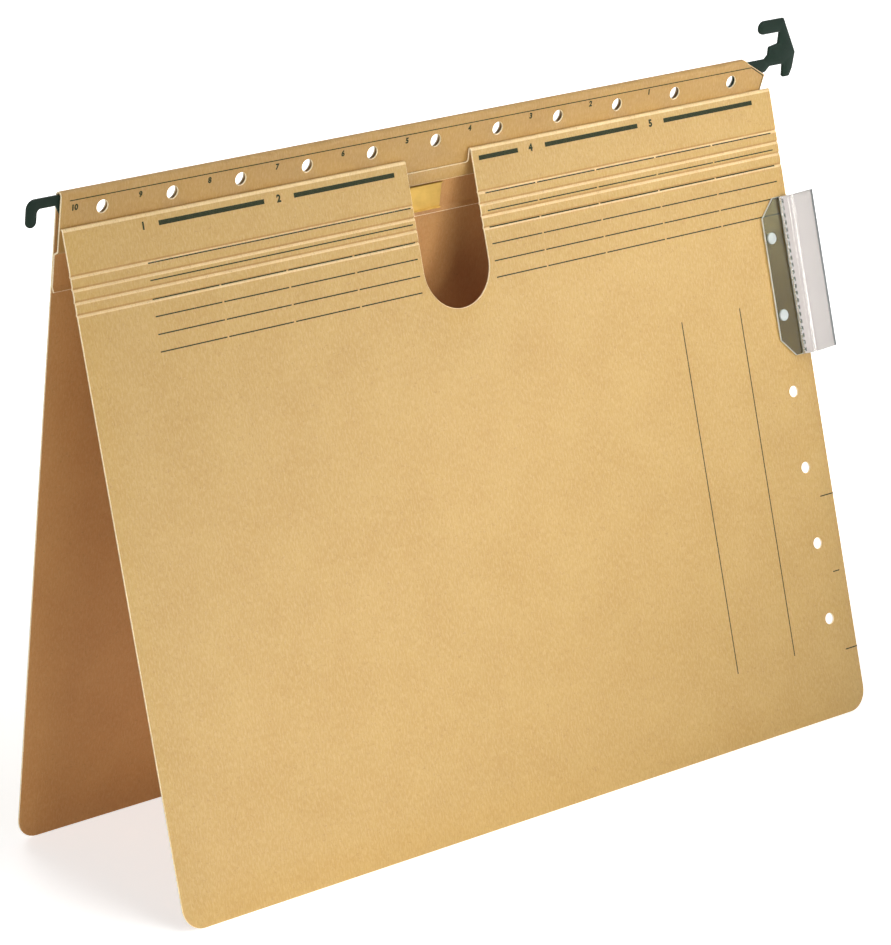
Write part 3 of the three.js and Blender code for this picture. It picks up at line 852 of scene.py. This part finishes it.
def makeFrontCover(look):
    width = folder["coverWidth"]
    turn = math.radians(180 - folder["frontLean"] - folder["backLean"])
    arc = look["foldRadius"] * turn
    cutStart = look["cutCentre"] - look["cutWidth"] / 2
    cutEnd = look["cutCentre"] + look["cutWidth"] / 2
    neck = width - backSheet["neckInset"]
    foldSide = -arc * look["foldSide"]
    shoulder = -arc - look["flapShoulder"]

    # the fold turns round the pivot: its line starts at the flap's lower end and runs over the top
    frontLean = math.radians(folder["frontLean"])
    backLean = math.radians(folder["backLean"])
    flapWay = Vector((math.sin(backLean), -math.cos(backLean)))
    frontWay = Vector((-math.sin(frontLean), -math.cos(frontLean)))
    rows = []
    for distance in (look["flapDepth"], 0.0):
        spot = Vector((math.cos(backLean), math.sin(backLean))) * look["foldRadius"]
        rows.append((-arc - distance, *(spot + flapWay * distance), math.pi / 2 + backLean))
    steps = look["foldSteps"]
    for i in range(1, steps + 1):
        angle = backLean + turn * i / steps
        spot = Vector((math.cos(angle), math.sin(angle))) * look["foldRadius"]
        rows.append((-arc + arc * i / steps, *spot, math.pi / 2 + angle))
    spot = Vector(rows[-1][1:3]) + frontWay * folder["frontHeight"]
    rows.append((folder["frontHeight"], *spot, rows[-1][3]))
    line = np.array(rows)
    upright = Matrix.Translation(Vector(folder["pivot"]) * mm) @ Matrix.Scale(mm, 4)
    sheet = {
        "line": line,
        "side": -1,
        "frame": upright,
        "ripple": creaseRipple,
        "thickness": folder["boardThickness"],
        "rounding": look["rounding"],
    }
    flapEnd = -arc - look["flapDepth"]
    notch = -arc - look["flapNotch"]

    def upperOutline(low):
        return roundedLoop(
            [
                (0, low),
                (0, foldSide),
                (look["flapInset"], shoulder),
                (look["flapInset"] + look["flapTaper"], flapEnd),
                (neck - look["flapTaper"], flapEnd),
                (neck, shoulder),
                (width, foldSide),
                (width, low),
                (cutEnd, low),
                (cutEnd, notch, look["notchRadius"]),
                (cutStart, notch, look["notchRadius"]),
                (cutStart, low),
            ]
        )

    def lowerOutline(high):
        radius = look["cutWidth"] / 2 - fullRound
        return roundedLoop(
            [
                (0, high),
                (0, folder["frontHeight"], folder["cornerRadius"]),
                (width, folder["frontHeight"], folder["cornerRadius"]),
                (width, high),
                (cutEnd, high),
                (cutEnd, look["cutDepth"], radius),
                (cutStart, look["cutDepth"], radius),
                (cutStart, high),
            ],
            look["cutArcStep"],
        )

    upper = {
        **sheet,
        "outer": upperOutline(look["seam"]),
        "rimLoop": upperOutline(look["seam"] + look["seamOverlap"]),
        "alongCuts": evenSteps(*look["foldCuts"]),
        "runCuts": [look["foldHighlightRun"]],
        "edgeSlot": 1,
        "innerSlot": 3,
    }
    slots = [boardFace, boardEdge, scoredHighlightFace, innerShadeFace, backShadeFace]
    fold = bentSheet("front_cover_fold", upper, slots)
    # painted highlight along the top of the fold, where it catches the light
    recolourBands(fold, [(foldSide, look["foldHighlightRun"])], 2)
    # painted shade: the flap's inner side, shaded in the finger cut, takes the back sheet's colour
    recolourBands(fold, [(innerRun + flapEnd, innerRun + foldSide)], 4, before=3)
    front = sheetSpot(sheet, 0.0, 0.0)
    back = sheetSpot(sheet, 0.0, -arc)
    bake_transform(fold)
    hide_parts("front_flap")

    sideHoles = [
        circleLoop(
            width - holeRows["sideInset"],
            holeRows["sideFirst"] + i * holeRows["sidePitch"],
            holeRows["sideRadius"],
        )
        for i in range(holeRows["sideCount"])
    ]
    creaseCuts, pale, shadedFlanks = [], [], []
    for crease in look["creases"]:
        bottom = crease - look["creaseClimb"] / 2
        fall, climb = look["creaseFall"], look["creaseClimb"]
        creaseCuts += evenSteps(bottom - fall, bottom, fall / look["creaseFallCuts"])
        creaseCuts += evenSteps(bottom, bottom + climb, climb / look["creaseClimbCuts"])[1:]
        creaseCuts.append(bottom + climb + look["highlightReach"])
        pale.append((bottom, bottom + climb + look["highlightReach"]))
        shadedFlanks.append((bottom - fall / 2, bottom))
    lower = {
        **sheet,
        "outer": lowerOutline(look["seam"]),
        "rimLoop": lowerOutline(look["seam"] - look["seamOverlap"]),
        "holes": sideHoles,
        "alongCuts": evenSteps(*look["boardCuts"]),
        "runCuts": sorted(creaseCuts) + evenSteps(*look["boardRunCuts"]),
        "edgeSlot": 1,
        "innerSlot": 3,
    }
    slots = [boardFace, boardEdge, scoredHighlightFace, innerShadeFace, flankShadeFace]
    board = bentSheet("front_cover_board", lower, slots)
    # painted highlight on the short flank that climbs out of each score
    recolourBands(board, pale, 2)
    # painted shade on the long flank that runs down into each score
    recolourBands(board, shadedFlanks, 4)
    bendStart = sheetSpot(sheet, 0.0, look["creases"][0] - look["creaseMargin"])
    bendEnd = sheetSpot(sheet, 0.0, look["creases"][-1] + look["creaseMargin"])
    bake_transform(board)
    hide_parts("front_margin_left", "front_margin_right", "front_panel")
    return sheet, tuple(bendStart), tuple(bendEnd)


cover, bendStart, bendEnd = makeFrontCover(frontSheet)
print("front cover made")


# Printing: thin ink patches that follow a sheet's face
inkFilm = {
    "rise": 0.02,
    "sink": 0.03,
    "step": 15,
    "numeralWeight": 0.05,
    "numeralSteps": 3,
    "numeralWeld": 0.002,
}


def inkPiece(name, sheet, patches):
    # each patch is flat points (along, run) and its faces
    points, faces = [], []
    half = sheet["thickness"] / 2
    base = 0
    for flat, patchFaces in patches:
        flat = np.array(flat, float)
        patchFaces = [tuple(int(i) for i in f) for f in patchFaces]
        count = len(flat)
        top = onSheet(sheet, flat[:, 0], flat[:, 1], np.full(count, half + inkFilm["rise"]))
        under = onSheet(sheet, flat[:, 0], flat[:, 1], np.full(count, half - inkFilm["sink"]))
        points += [top, under]
        faces += [tuple(i + base for i in f) for f in patchFaces]
        faces += [tuple(i + base + count for i in reversed(f)) for f in patchFaces]
        faces += [
            (a + base, b + base, b + count + base, a + count + base)
            for a, b in openEdges(patchFaces)
        ]
        base += 2 * count
    return makePiece(name, np.vstack(points), faces, [printInk], [0] * len(faces))


def inkLine(spots, width):
    # a ruled line through spots, with mitred corners
    spots = np.array(spots, float)
    ways = np.diff(spots, axis=0)
    ways /= np.linalg.norm(ways, axis=1)[:, None]
    into = np.vstack([ways[:1], ways])
    away = np.vstack([ways, ways[-1:]])
    middle = into + away
    middle /= np.linalg.norm(middle, axis=1)[:, None]
    reach = width / 2 / (middle * into).sum(axis=1)
    side = np.column_stack([-middle[:, 1], middle[:, 0]]) * reach[:, None]
    flat = np.vstack([spots + side, spots - side])
    count = len(spots)
    faces = [(i, i + 1, i + 1 + count, i + count) for i in range(count - 1)]
    return flat, faces


def inkRow(starts, ends, run, width, lean=0.0):
    return [
        inkLine([(u + lean, run) for u in evenSteps(a, b, inkFilm["step"])], width)
        for a, b in zip(starts, ends)
    ]


def inkNumeral(text, along, run, size):
    # plain numeral, its lower left corner at along and run; down the sheet is +run
    curve = bpy.data.curves.new("numeral", "FONT")
    curve.body = text
    curve.size = size
    curve.offset = inkFilm["numeralWeight"] * size
    curve.resolution_u = inkFilm["numeralSteps"]
    shown = bpy.data.objects.new("numeral", curve)
    bpy.context.scene.collection.objects.link(shown)
    graph = bpy.context.evaluated_depsgraph_get()
    mesh = bpy.data.meshes.new_from_object(shown.evaluated_get(graph))
    net = bmesh.new()
    net.from_mesh(mesh)
    bmesh.ops.remove_doubles(net, verts=net.verts, dist=size * inkFilm["numeralWeld"])
    net.verts.index_update()
    flat = [(along + v.co.x, run - v.co.y) for v in net.verts]
    faces = [tuple(v.index for v in f.verts) for f in net.faces]
    net.free()
    bpy.data.objects.remove(shown)
    bpy.data.curves.remove(curve)
    bpy.data.meshes.remove(mesh)
    return flat, faces


stripPrint = {
    "border": (3.5, 309.0),
    "borderRise": 9.5,
    "borderCorner": (315.4, 5.6),
    "borderFoot": (314.1, 0.3),
    "lineWidth": 0.34,
    "numeralSize": 2.7,
    "numeralDrop": 3.4,
    "numeralClimb": 0.1,
    "numeralShift": 0.4,
    "first": 4.2,
    "count": 10,
}


def printStrip(look):
    run = strip["frontRun"]
    rise = look["borderRise"]
    border = [(u, run(rise)) for u in evenSteps(*look["border"], inkFilm["step"])]
    border += [(u, run(w)) for u, w in (look["borderCorner"], look["borderFoot"])]
    patches = [inkLine(border, look["lineWidth"])]
    # the numerals count down from the left, each midway between two holes
    midway = holeRows["spineFirst"] - holeRows["spinePitch"] / 2 + look["numeralShift"]
    for i in range(look["count"]):
        number = str(look["count"] - i)
        along = midway + i * holeRows["spinePitch"] if i else look["first"]
        drop = look["numeralDrop"] - i * look["numeralClimb"]
        patches.append(inkNumeral(number, along, run(rise - drop), look["numeralSize"]))
    piece = inkPiece("strip_print", strip, patches)
    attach(piece, "spine")


printStrip(stripPrint)

coverPrint = {
    "bars": [(37.7, 43.7), (94.0, 43.7), (175.9, 18.0), (206.6, 44.3), (263.7, 44.3)],
    "barRun": 3.3,
    "barWidth": 1.6,
    "numerals": [("1", 30.6), ("2", 86.7), ("4", 199.0), ("5", 256.4)],
    "numeralRun": 4.4,
    "numeralSize": 3.4,
    "ruleWidth": 0.42,
    "fullRules": 2,
    "leftRules": [15.4, 21.0, 27.1, 32.75, 38.55, 44.25],
    "rightRules": [15.5, 21.6, 27.3, 33.1, 39.0, 44.7],
    "leftStarts": (30.7, 58.9, 87.1, 115.6),
    "leftEnds": (58.1, 86.2, 114.7, 142.4),
    "rightStarts": (176.2, 200.2, 228.3, 257.2, 285.3),
    "rightEnds": (199.4, 227.5, 256.4, 284.5, 315.0),
    "rowLean": -0.2,
    "uprights": [257.0, 286.0],
    "uprightRuns": (75.0, 203.5, 20),
    "ticks": [(311.3, 318.0, 149.4), (311.8, 315.0, 177.7), (312.0, 318.0, 206.9)],
}


def printCover(look):
    starts, ends = [a for a, n in look["bars"]], [a + n for a, n in look["bars"]]
    upper = inkRow(starts, ends, look["barRun"], look["barWidth"])
    for number, along in look["numerals"]:
        upper.append(inkNumeral(number, along, look["numeralRun"], look["numeralSize"]))
    piece = inkPiece("front_print_index", cover, upper)
    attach(piece, "cover_margin")

    lower = []
    width = look["ruleWidth"]
    for i, run in enumerate(look["leftRules"]):
        # the upper rules run through, the others have gaps
        whole = i < look["fullRules"]
        starts = look["leftStarts"][:1] if whole else look["leftStarts"]
        ends = look["leftEnds"][-1:] if whole else look["leftEnds"]
        lower += inkRow(starts, ends, run, width, i * look["rowLean"])
    for i, run in enumerate(look["rightRules"]):
        lower += inkRow(look["rightStarts"], look["rightEnds"], run, width, i * look["rowLean"])
    for u in look["uprights"]:
        lower.append(inkLine([(u, run) for run in evenSteps(*look["uprightRuns"])], width))
    for start, end, run in look["ticks"]:
        lower += inkRow([start], [end], run, width)
    piece = inkPiece("front_print_rules", cover, lower)
    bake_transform(piece)


printCover(coverPrint)
print("printing made")


# Paper fastener: base strip, two prongs, channel bar and two locking sliders
fastener = {
    "centre": 103.0,
    "drop": 14.8,
    "prongPitch": 80.0,
    "prongLength": 30.0,
    "prongWidth": 5.0,
    "sheet": 0.3,
    "baseLength": 96.0,
    "baseWidth": 7.0,
    "baseDepth": 1.35,
    "barLength": 120.0,
    "barWidth": 9.4,
    "barBack": 0.8,
    "barHeight": 1.4,
    "barCorner": 0.6,
    "bend": 0.3,
    "prongArcStep": 12,
    "slotCorner": 0.2,
    "rootGap": 0.45,
    "prongDepth": 0.05,
    "sliderLength": 7.0,
    "sliderSpacing": 9.0,
    "sliderFront": -1.2,
    "sliderBack": 1.4,
    "sliderLip": 1.3,
    "sliderGap": 0.3,
    "sliderBend": 0.25,
    "sliderCorner": 0.5,
    "rounding": 0.08,
    "sharp": 50,
}


def fastenerSheet(look, line, side, outer, holes=(), order=(0, 1, 2)):
    return {
        "line": line,
        "side": side,
        "frame": spineFrame,
        "outer": outer,
        "holes": list(holes),
        "thickness": look["sheet"],
        "rounding": look["rounding"],
        "order": order,
        "sharp": look["sharp"],
    }


def makeFastener(look):
    centre, drop = look["centre"], look["drop"]
    roots = [centre + side * look["prongPitch"] / 2 for side in (-1, 1)]
    # base strip, flat, with fully rounded ends
    half = look["baseWidth"] / 2
    line = bentLine([(look["baseDepth"], -drop + half), (look["baseDepth"], -drop - half)])
    reach = look["baseLength"] / 2
    outer = boxLoop(centre - reach, 0, centre + reach, 2 * half, half - fullRound)
    base = bentSheet("fastener_base_strip", fastenerSheet(look, line, -1, outer), [brassStrip])
    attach(base, "spine")
    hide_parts("fastener_base")

    # prongs: up from the base through the bar's slot, then folded inwards along the channel
    for name, side, root in (("left", -1, roots[0]), ("right", 1, roots[1])):
        line = bentLine(
            [
                (root, look["baseDepth"] - look["sheet"] / 2),
                (root, look["prongDepth"], look["bend"]),
                (root - side * look["prongLength"], look["prongDepth"]),
            ],
            look["prongArcStep"],
        )
        reach = line[-1, 0]
        tip = look["prongWidth"] / 2 - fullRound
        low, high = -drop - look["prongWidth"] / 2, -drop + look["prongWidth"] / 2
        outer = roundedLoop([(low, 0), (high, 0), (high, reach, tip), (low, reach, tip)])
        sheet = fastenerSheet(look, line, side, outer, order=(1, 2, 0))
        prong = bentSheet(f"prong_strip_{name}", sheet, [brassStrip])
        first = sheetSpot(sheet, -drop, line[1, 0])
        last = sheetSpot(sheet, -drop, line[-2, 0])
        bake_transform(prong)
        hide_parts(f"prong_{name}")

    # channel bar: a strip with both rims turned up
    half = look["barWidth"] / 2
    inner = half - look["sheet"] / 2
    floor = look["barBack"] - look["sheet"] / 2
    lip = look["barBack"] - look["barHeight"] + look["sheet"] / 2
    line = bentLine(
        [
            (lip, -drop + inner),
            (floor, -drop + inner, look["bend"]),
            (floor, -drop - inner, look["bend"]),
            (lip, -drop - inner),
        ]
    )
    reach = line[-1, 0]
    start, stop = centre - look["barLength"] / 2, centre + look["barLength"] / 2
    outer = boxLoop(start, 0, stop, reach, look["barCorner"])
    slotHalf = look["prongWidth"] / 2 + look["rootGap"]
    wide = look["sheet"] / 2 + look["rootGap"]
    low, high = reach / 2 - slotHalf, reach / 2 + slotHalf
    slots = [boxLoop(root - wide, low, root + wide, high, look["slotCorner"]) for root in roots]
    bar = bentSheet("cover_bar_channel", fastenerSheet(look, line, 1, outer, slots), [brassStrip])
    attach(bar, "spine")
    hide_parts("cover_bar")

    # sliders: short clips wrapped round the bar from the front
    half = look["barWidth"] / 2 + look["sliderGap"] + look["sheet"] / 2
    front = look["sliderFront"] + look["sheet"] / 2
    back = look["sliderBack"] - look["sheet"] / 2
    line = bentLine(
        [
            (back, -drop + half - look["sliderLip"]),
            (back, -drop + half, look["sliderBend"]),
            (front, -drop + half, look["sliderBend"]),
            (front, -drop - half, look["sliderBend"]),
            (back, -drop - half, look["sliderBend"]),
            (back, -drop - half + look["sliderLip"]),
        ]
    )
    reach = line[-1, 0]
    for name, side in (("left", -1), ("right", 1)):
        middle = centre + side * look["sliderSpacing"] / 2
        start, stop = middle - look["sliderLength"] / 2, middle + look["sliderLength"] / 2
        outer = boxLoop(start, 0, stop, reach, look["sliderCorner"])
        clip = bentSheet(f"paper_slider_{name}", fastenerSheet(look, line, 1, outer), [brassStrip])
        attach(clip, f"{name}_slider")
        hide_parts(f"slider_{name}")


makeFastener(fastener)
print("fastener made")


# Clear tab: flange clipped on by two studs, then a bent pocket that holds the label
tab = {
    "top": 38.6,
    "length": 58.0,
    "flangeStart": 303.3,
    "flangeDepth": -1.4,
    "flangeThickness": 0.7,
    "flangeOverlap": 0.3,
    "flangeCorner": 0.6,
    "flangeSharp": 12,
    "chamfer": 6.6,
    "bend": 313.2,
    "pocketBack": -1.05,
    "pocketHalf": 0.8,
    "valleyRun": 2.5,
    "valleyRise": 3.2,
    "valleyRadius": 4.0,
    "faceRun": 15.0,
    "faceFall": 4.5,
    "wall": 0.4,
    "labelThickness": 0.2,
    "labelMargin": 0.7,
    "labelRounding": 0.04,
    "rounding": 0.12,
    "pocketArcStep": 6,
    "pocketSharp": 20,
    "dashLength": 1.5,
    "dashPitch": 2.6,
    "dashWidth": 0.7,
    "dashStart": 0.3,
    "studCount": 2,
    "studSteps": 32,
    # radius and depth of the stud, from its tail behind the board to the dimple in its head
    "studProfile": [
        (0.0, 0.6), (1.35, 0.6), (1.65, 0.3), (1.65, -1.06), (2.1, -1.06), (2.1, -2.1),
        (1.95, -2.28), (1.6, -2.35), (1.2, -2.3), (0.9, -2.05), (0.45, -1.92), (0.0, -1.9),
    ],
}


def makeTab(look):
    half = look["pocketHalf"]
    start = Vector((look["bend"], look["pocketBack"] - half))
    valley = start + Vector((look["valleyRun"], -look["valleyRise"]))
    far = valley + Vector((look["faceRun"], look["faceFall"]))
    top, bottom = -look["top"], -look["top"] - look["length"]

    # pocket: one clear sheet folded on itself, open at both ends of its length
    first = (valley - start).normalized()
    second = (far - valley).normalized()

    def pocketRing(reach, cut):
        ends = [tuple(start + first * cut), tuple(far - second * cut)]
        rows = bentLine([ends[0], (*valley, look["valleyRadius"]), ends[1]], look["pocketArcStep"])
        across = np.column_stack([-np.sin(rows[:, 3]), np.cos(rows[:, 3])]) * reach
        return [*(rows[:, 1:3] + across), *(rows[:, 1:3] - across)[::-1]]

    outerRing = pocketRing(half, 0)
    innerRing = pocketRing(half - look["wall"], look["wall"])
    count = len(outerRing)
    points, faces = [], []
    for ring in (outerRing, innerRing):
        for height in (bottom, top):
            points += [frontFrame @ Vector((*p, height)) for p in ring]
    for i in range(count):
        j = (i + 1) % count
        faces.append((i, j, j + count, i + count))
        faces.append((i + 2 * count, i + 3 * count, j + 3 * count, j + 2 * count))
        faces.append((i, i + 2 * count, j + 2 * count, j))
        faces.append((i + count, j + count, j + 3 * count, i + 3 * count))
    # each step round the ring has an outer, an inner and two end faces; painted shade makes the
    # ends grey, and the outer face of the far fold, half way round
    faceSlots = [0, 0, 1, 1] * count
    faceSlots[4 * (count // 2 - 1)] = 1
    slots, sharp = [clearSheet, foldEdgeShade], look["pocketSharp"]
    pocket = makePiece("label_tab_pocket", points, faces, slots, faceSlots, sharp=sharp)
    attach(pocket, "label_tab")
    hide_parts("tab_holder")

    # flange with its corners cut; the studs go through it
    line = bentLine([(look["flangeDepth"], top), (look["flangeDepth"], bottom)])
    begin = look["flangeStart"]
    end = look["bend"] + look["flangeOverlap"]
    length, chamfer, corner = look["length"], look["chamfer"], look["flangeCorner"]
    outer = roundedLoop(
        [
            (begin, chamfer, corner),
            (begin + chamfer, 0, corner),
            (end, 0),
            (end, length),
            (begin + chamfer, length, corner),
            (begin, length - chamfer, corner),
        ]
    )
    sheet = {
        "line": line,
        "side": -1,
        "frame": frontFrame,
        "outer": outer,
        "thickness": look["flangeThickness"],
        "rounding": look["rounding"],
        "sharp": look["flangeSharp"],
    }
    flange = bentSheet("label_tab_flange", sheet, [flangeSheet, clearEdge])
    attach(flange, "label_tab")

    # studs: the profile turned round its axis
    profile = look["studProfile"]
    steps = look["studSteps"]
    for i in range(look["studCount"]):
        w = -holeRows["sideFirst"] - i * holeRows["sidePitch"]
        u = folder["coverWidth"] - holeRows["sideInset"]
        points, faces = [], []
        for radius, depth in profile:
            if radius == 0:
                points.append((u, depth, w))
            else:
                for k in range(steps):
                    a = 2 * math.pi * k / steps
                    points.append((u + radius * math.cos(a), depth, w + radius * math.sin(a)))
        rows = len(profile) - 2
        for k in range(steps):
            n = (k + 1) % steps
            faces.append((0, 1 + n, 1 + k))
            last = 1 + (rows - 1) * steps
            faces.append((last + k, last + n, len(points) - 1))
            for r in range(rows - 1):
                a, b = 1 + r * steps, 1 + (r + 1) * steps
                faces.append((a + k, a + n, b + n, b + k))
        world = [frontFrame @ Vector(p) for p in points]
        stud = makePiece(f"label_tab_stud_{i + 1}", world, faces, [studFace], [0] * len(faces))
        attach(stud, "label_tab")

    # label card, bent like the pocket, with a row of short dashes down its left edge
    margin = look["labelMargin"]
    ends = [tuple(start + first * margin), tuple(far - second * margin)]
    line = bentLine([ends[0], (*valley, look["valleyRadius"]), ends[1]])
    outer = boxLoop(bottom, 0, top, line[-1, 0])
    sheet = {
        "line": line,
        "side": -1,
        "frame": frontFrame,
        "outer": outer,
        "thickness": look["labelThickness"],
        "rounding": look["labelRounding"],
        "order": (1, 2, 0),
    }
    card = bentSheet("label_card", sheet, [cardFace])
    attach(card, "label")
    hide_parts("tab_label")
    dashes = []
    run = look["dashWidth"] / 2
    for i in range(int(look["length"] / look["dashPitch"])):
        w = bottom + (i + look["dashStart"]) * look["dashPitch"]
        dashes.append(inkLine([(w, run), (w + look["dashLength"], run)], look["dashWidth"]))
    piece = inkPiece("label_dashes", sheet, dashes)
    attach(piece, "label")


makeTab(tab)
print("tab made")


# Stage, its places and sizes in metres: pale floor, white background, soft light and the camera
stage = {
    "floorSize": 12.0,
    "floor": "#e4e4e2",
    "floorGlow": 0.62,
    "glowNear": 0.2,
    "glowFar": 0.5,
    "worldLight": 0.14,
    # each lamp: name, place, aim, size, spread in degrees and power in watts
    "lamps": [
        ("top", (0.15, -0.6, 1.35), (0, 0, 0.11), (0.8, 0.8), 180, 5.8),
        ("left", (-1.4, -0.6, 0.3), (0, 0, 0.11), (0.5, 0.5), 180, 9.2),
        ("key", (0.9, -1.45, 0.34), (-0.3, 0, 0), (0.35, 0.35), 70, 0.4),
        ("nearRight", (0.72, -0.53, 0.38), (0.15, 0, 0.2), (0.2, 0.2), 50, 0.095),
        ("bandRight", (0.25, -0.62, 0.22), (0, -0.012, 0.11), (0.62, 0.05), 40, 0.2),
        ("bandFront", (0, -0.586, 0.285), (0, -0.012, 0.11), (0.62, 0.05), 45, 0.1),
        ("inside", (0, 0, 0.004), (0, 0, 0.2), (0.25, 0.04), 180, 0.045),
        ("back", (0.4, 1.5, 0.9), (0, 0, 0.11), (1.0, 1.0), 180, 12.0),
    ],
    "bandAlong": (0.8, 0.173, 0.569),
    "mirroredSpread": 60,
    "lens": 164.371,
    "sensor": 36,
    "farthest": 50,
    "cameraPlace": (-0.943599, -1.042544, 0.603121),
    "cameraTurn": (70.716874, -1.639489, -41.209354),
}


def whiteForCamera(tree):
    # 1 for what the camera sees, also in metal and through the clear sheet, and 0 for lighting
    path = addNode(tree, "LightPath")
    seen = path.outputs["Is Camera Ray"]
    for ray in ("Is Glossy Ray", "Is Transmission Ray"):
        links = {0: seen, 1: path.outputs[ray]}
        seen = addNode(tree, "Math", {"operation": "MAXIMUM"}, links).outputs[0]
    return seen


def makeStage(look):
    world = bpy.data.worlds.new("studio")
    bpy.context.scene.world = world
    world.use_nodes = True
    tree = world.node_tree
    tree.nodes.clear()
    light = addNode(tree, "Background", {"Color": (1, 1, 1, 1), "Strength": look["worldLight"]})
    white = addNode(tree, "Background", {"Color": (1, 1, 1, 1), "Strength": 1.0})
    mixed = addNode(
        tree, "MixShader", links={0: whiteForCamera(tree), 1: light.outputs[0], 2: white.outputs[0]}
    )
    addNode(tree, "OutputWorld", links={"Surface": mixed.outputs[0]})

    size = look["floorSize"] / 2
    corners = [(-size, -size, 0), (size, -size, 0), (size, size, 0), (-size, size, 0)]
    mesh = bpy.data.meshes.new("floor")
    mesh.from_pydata(corners, [], [(0, 1, 2, 3)])
    floor = bpy.data.objects.new("floor", mesh)
    bpy.context.scene.collection.objects.link(floor)
    material, tree, place = newMaterial("floor_matt_white")
    # the floor glows where the lamps fall off, so that it stays white all the way back
    distance = addNode(tree, "VectorMath", {"operation": "LENGTH"}, {0: place}).outputs["Value"]
    strength = addNode(
        tree,
        "MapRange",
        {1: look["glowNear"], 2: look["glowFar"], 3: look["floorGlow"], 4: 1.0},
        {0: distance},
    )
    matt = addNode(tree, "BsdfDiffuse", {"Color": srgb(look["floor"])})
    glow = addNode(tree, "Emission", {"Color": (1, 1, 1, 1)}, {"Strength": strength.outputs[0]})
    both = addNode(tree, "AddShader", links={0: matt.outputs[0], 1: glow.outputs[0]})
    mixed = addNode(
        tree, "MixShader", links={0: whiteForCamera(tree), 1: matt.outputs[0], 2: both.outputs[0]}
    )
    closeMaterial(tree, mixed)
    mesh.materials.append(material)

    for name, place, aim, size, spread, energy in look["lamps"]:
        lamp = bpy.data.lights.new(name, "AREA")
        lamp.energy = energy
        lamp.spread = math.radians(spread)
        lamp.size, lamp.size_y = size
        item = bpy.data.objects.new(name, lamp)
        item.location = place
        back = (Vector(place) - Vector(aim)).normalized()
        if size[0] == size[1]:
            lamp.shape = "DISK"
            item.rotation_euler = back.to_track_quat("Z", "Y").to_euler()
        else:
            # a long lamp lies along the cover's diagonal, from its lower left to its upper right
            lamp.shape = "RECTANGLE"
            along = Vector(look["bandAlong"])
            along = (along - back * along.dot(back)).normalized()
            item.rotation_euler = Matrix((along, back.cross(along), back)).transposed().to_euler()
        item.visible_camera = False
        # the narrow lamps near the cover shade its board only: the clear tab doesn't mirror them
        item.visible_glossy = spread > look["mirroredSpread"]
        bpy.context.scene.collection.objects.link(item)

    lens = bpy.data.cameras.new("camera")
    lens.lens = look["lens"]
    lens.sensor_width = look["sensor"]
    lens.clip_end = look["farthest"]
    camera = bpy.data.objects.new("camera", lens)
    camera.location = look["cameraPlace"]
    camera.rotation_euler = [math.radians(angle) for angle in look["cameraTurn"]]
    bpy.context.scene.collection.objects.link(camera)
    bpy.context.scene.camera = camera
    bpy.context.scene.view_settings.view_transform = "Standard"


makeStage(stage)
print("stage made")

bpy.context.view_layer.update()
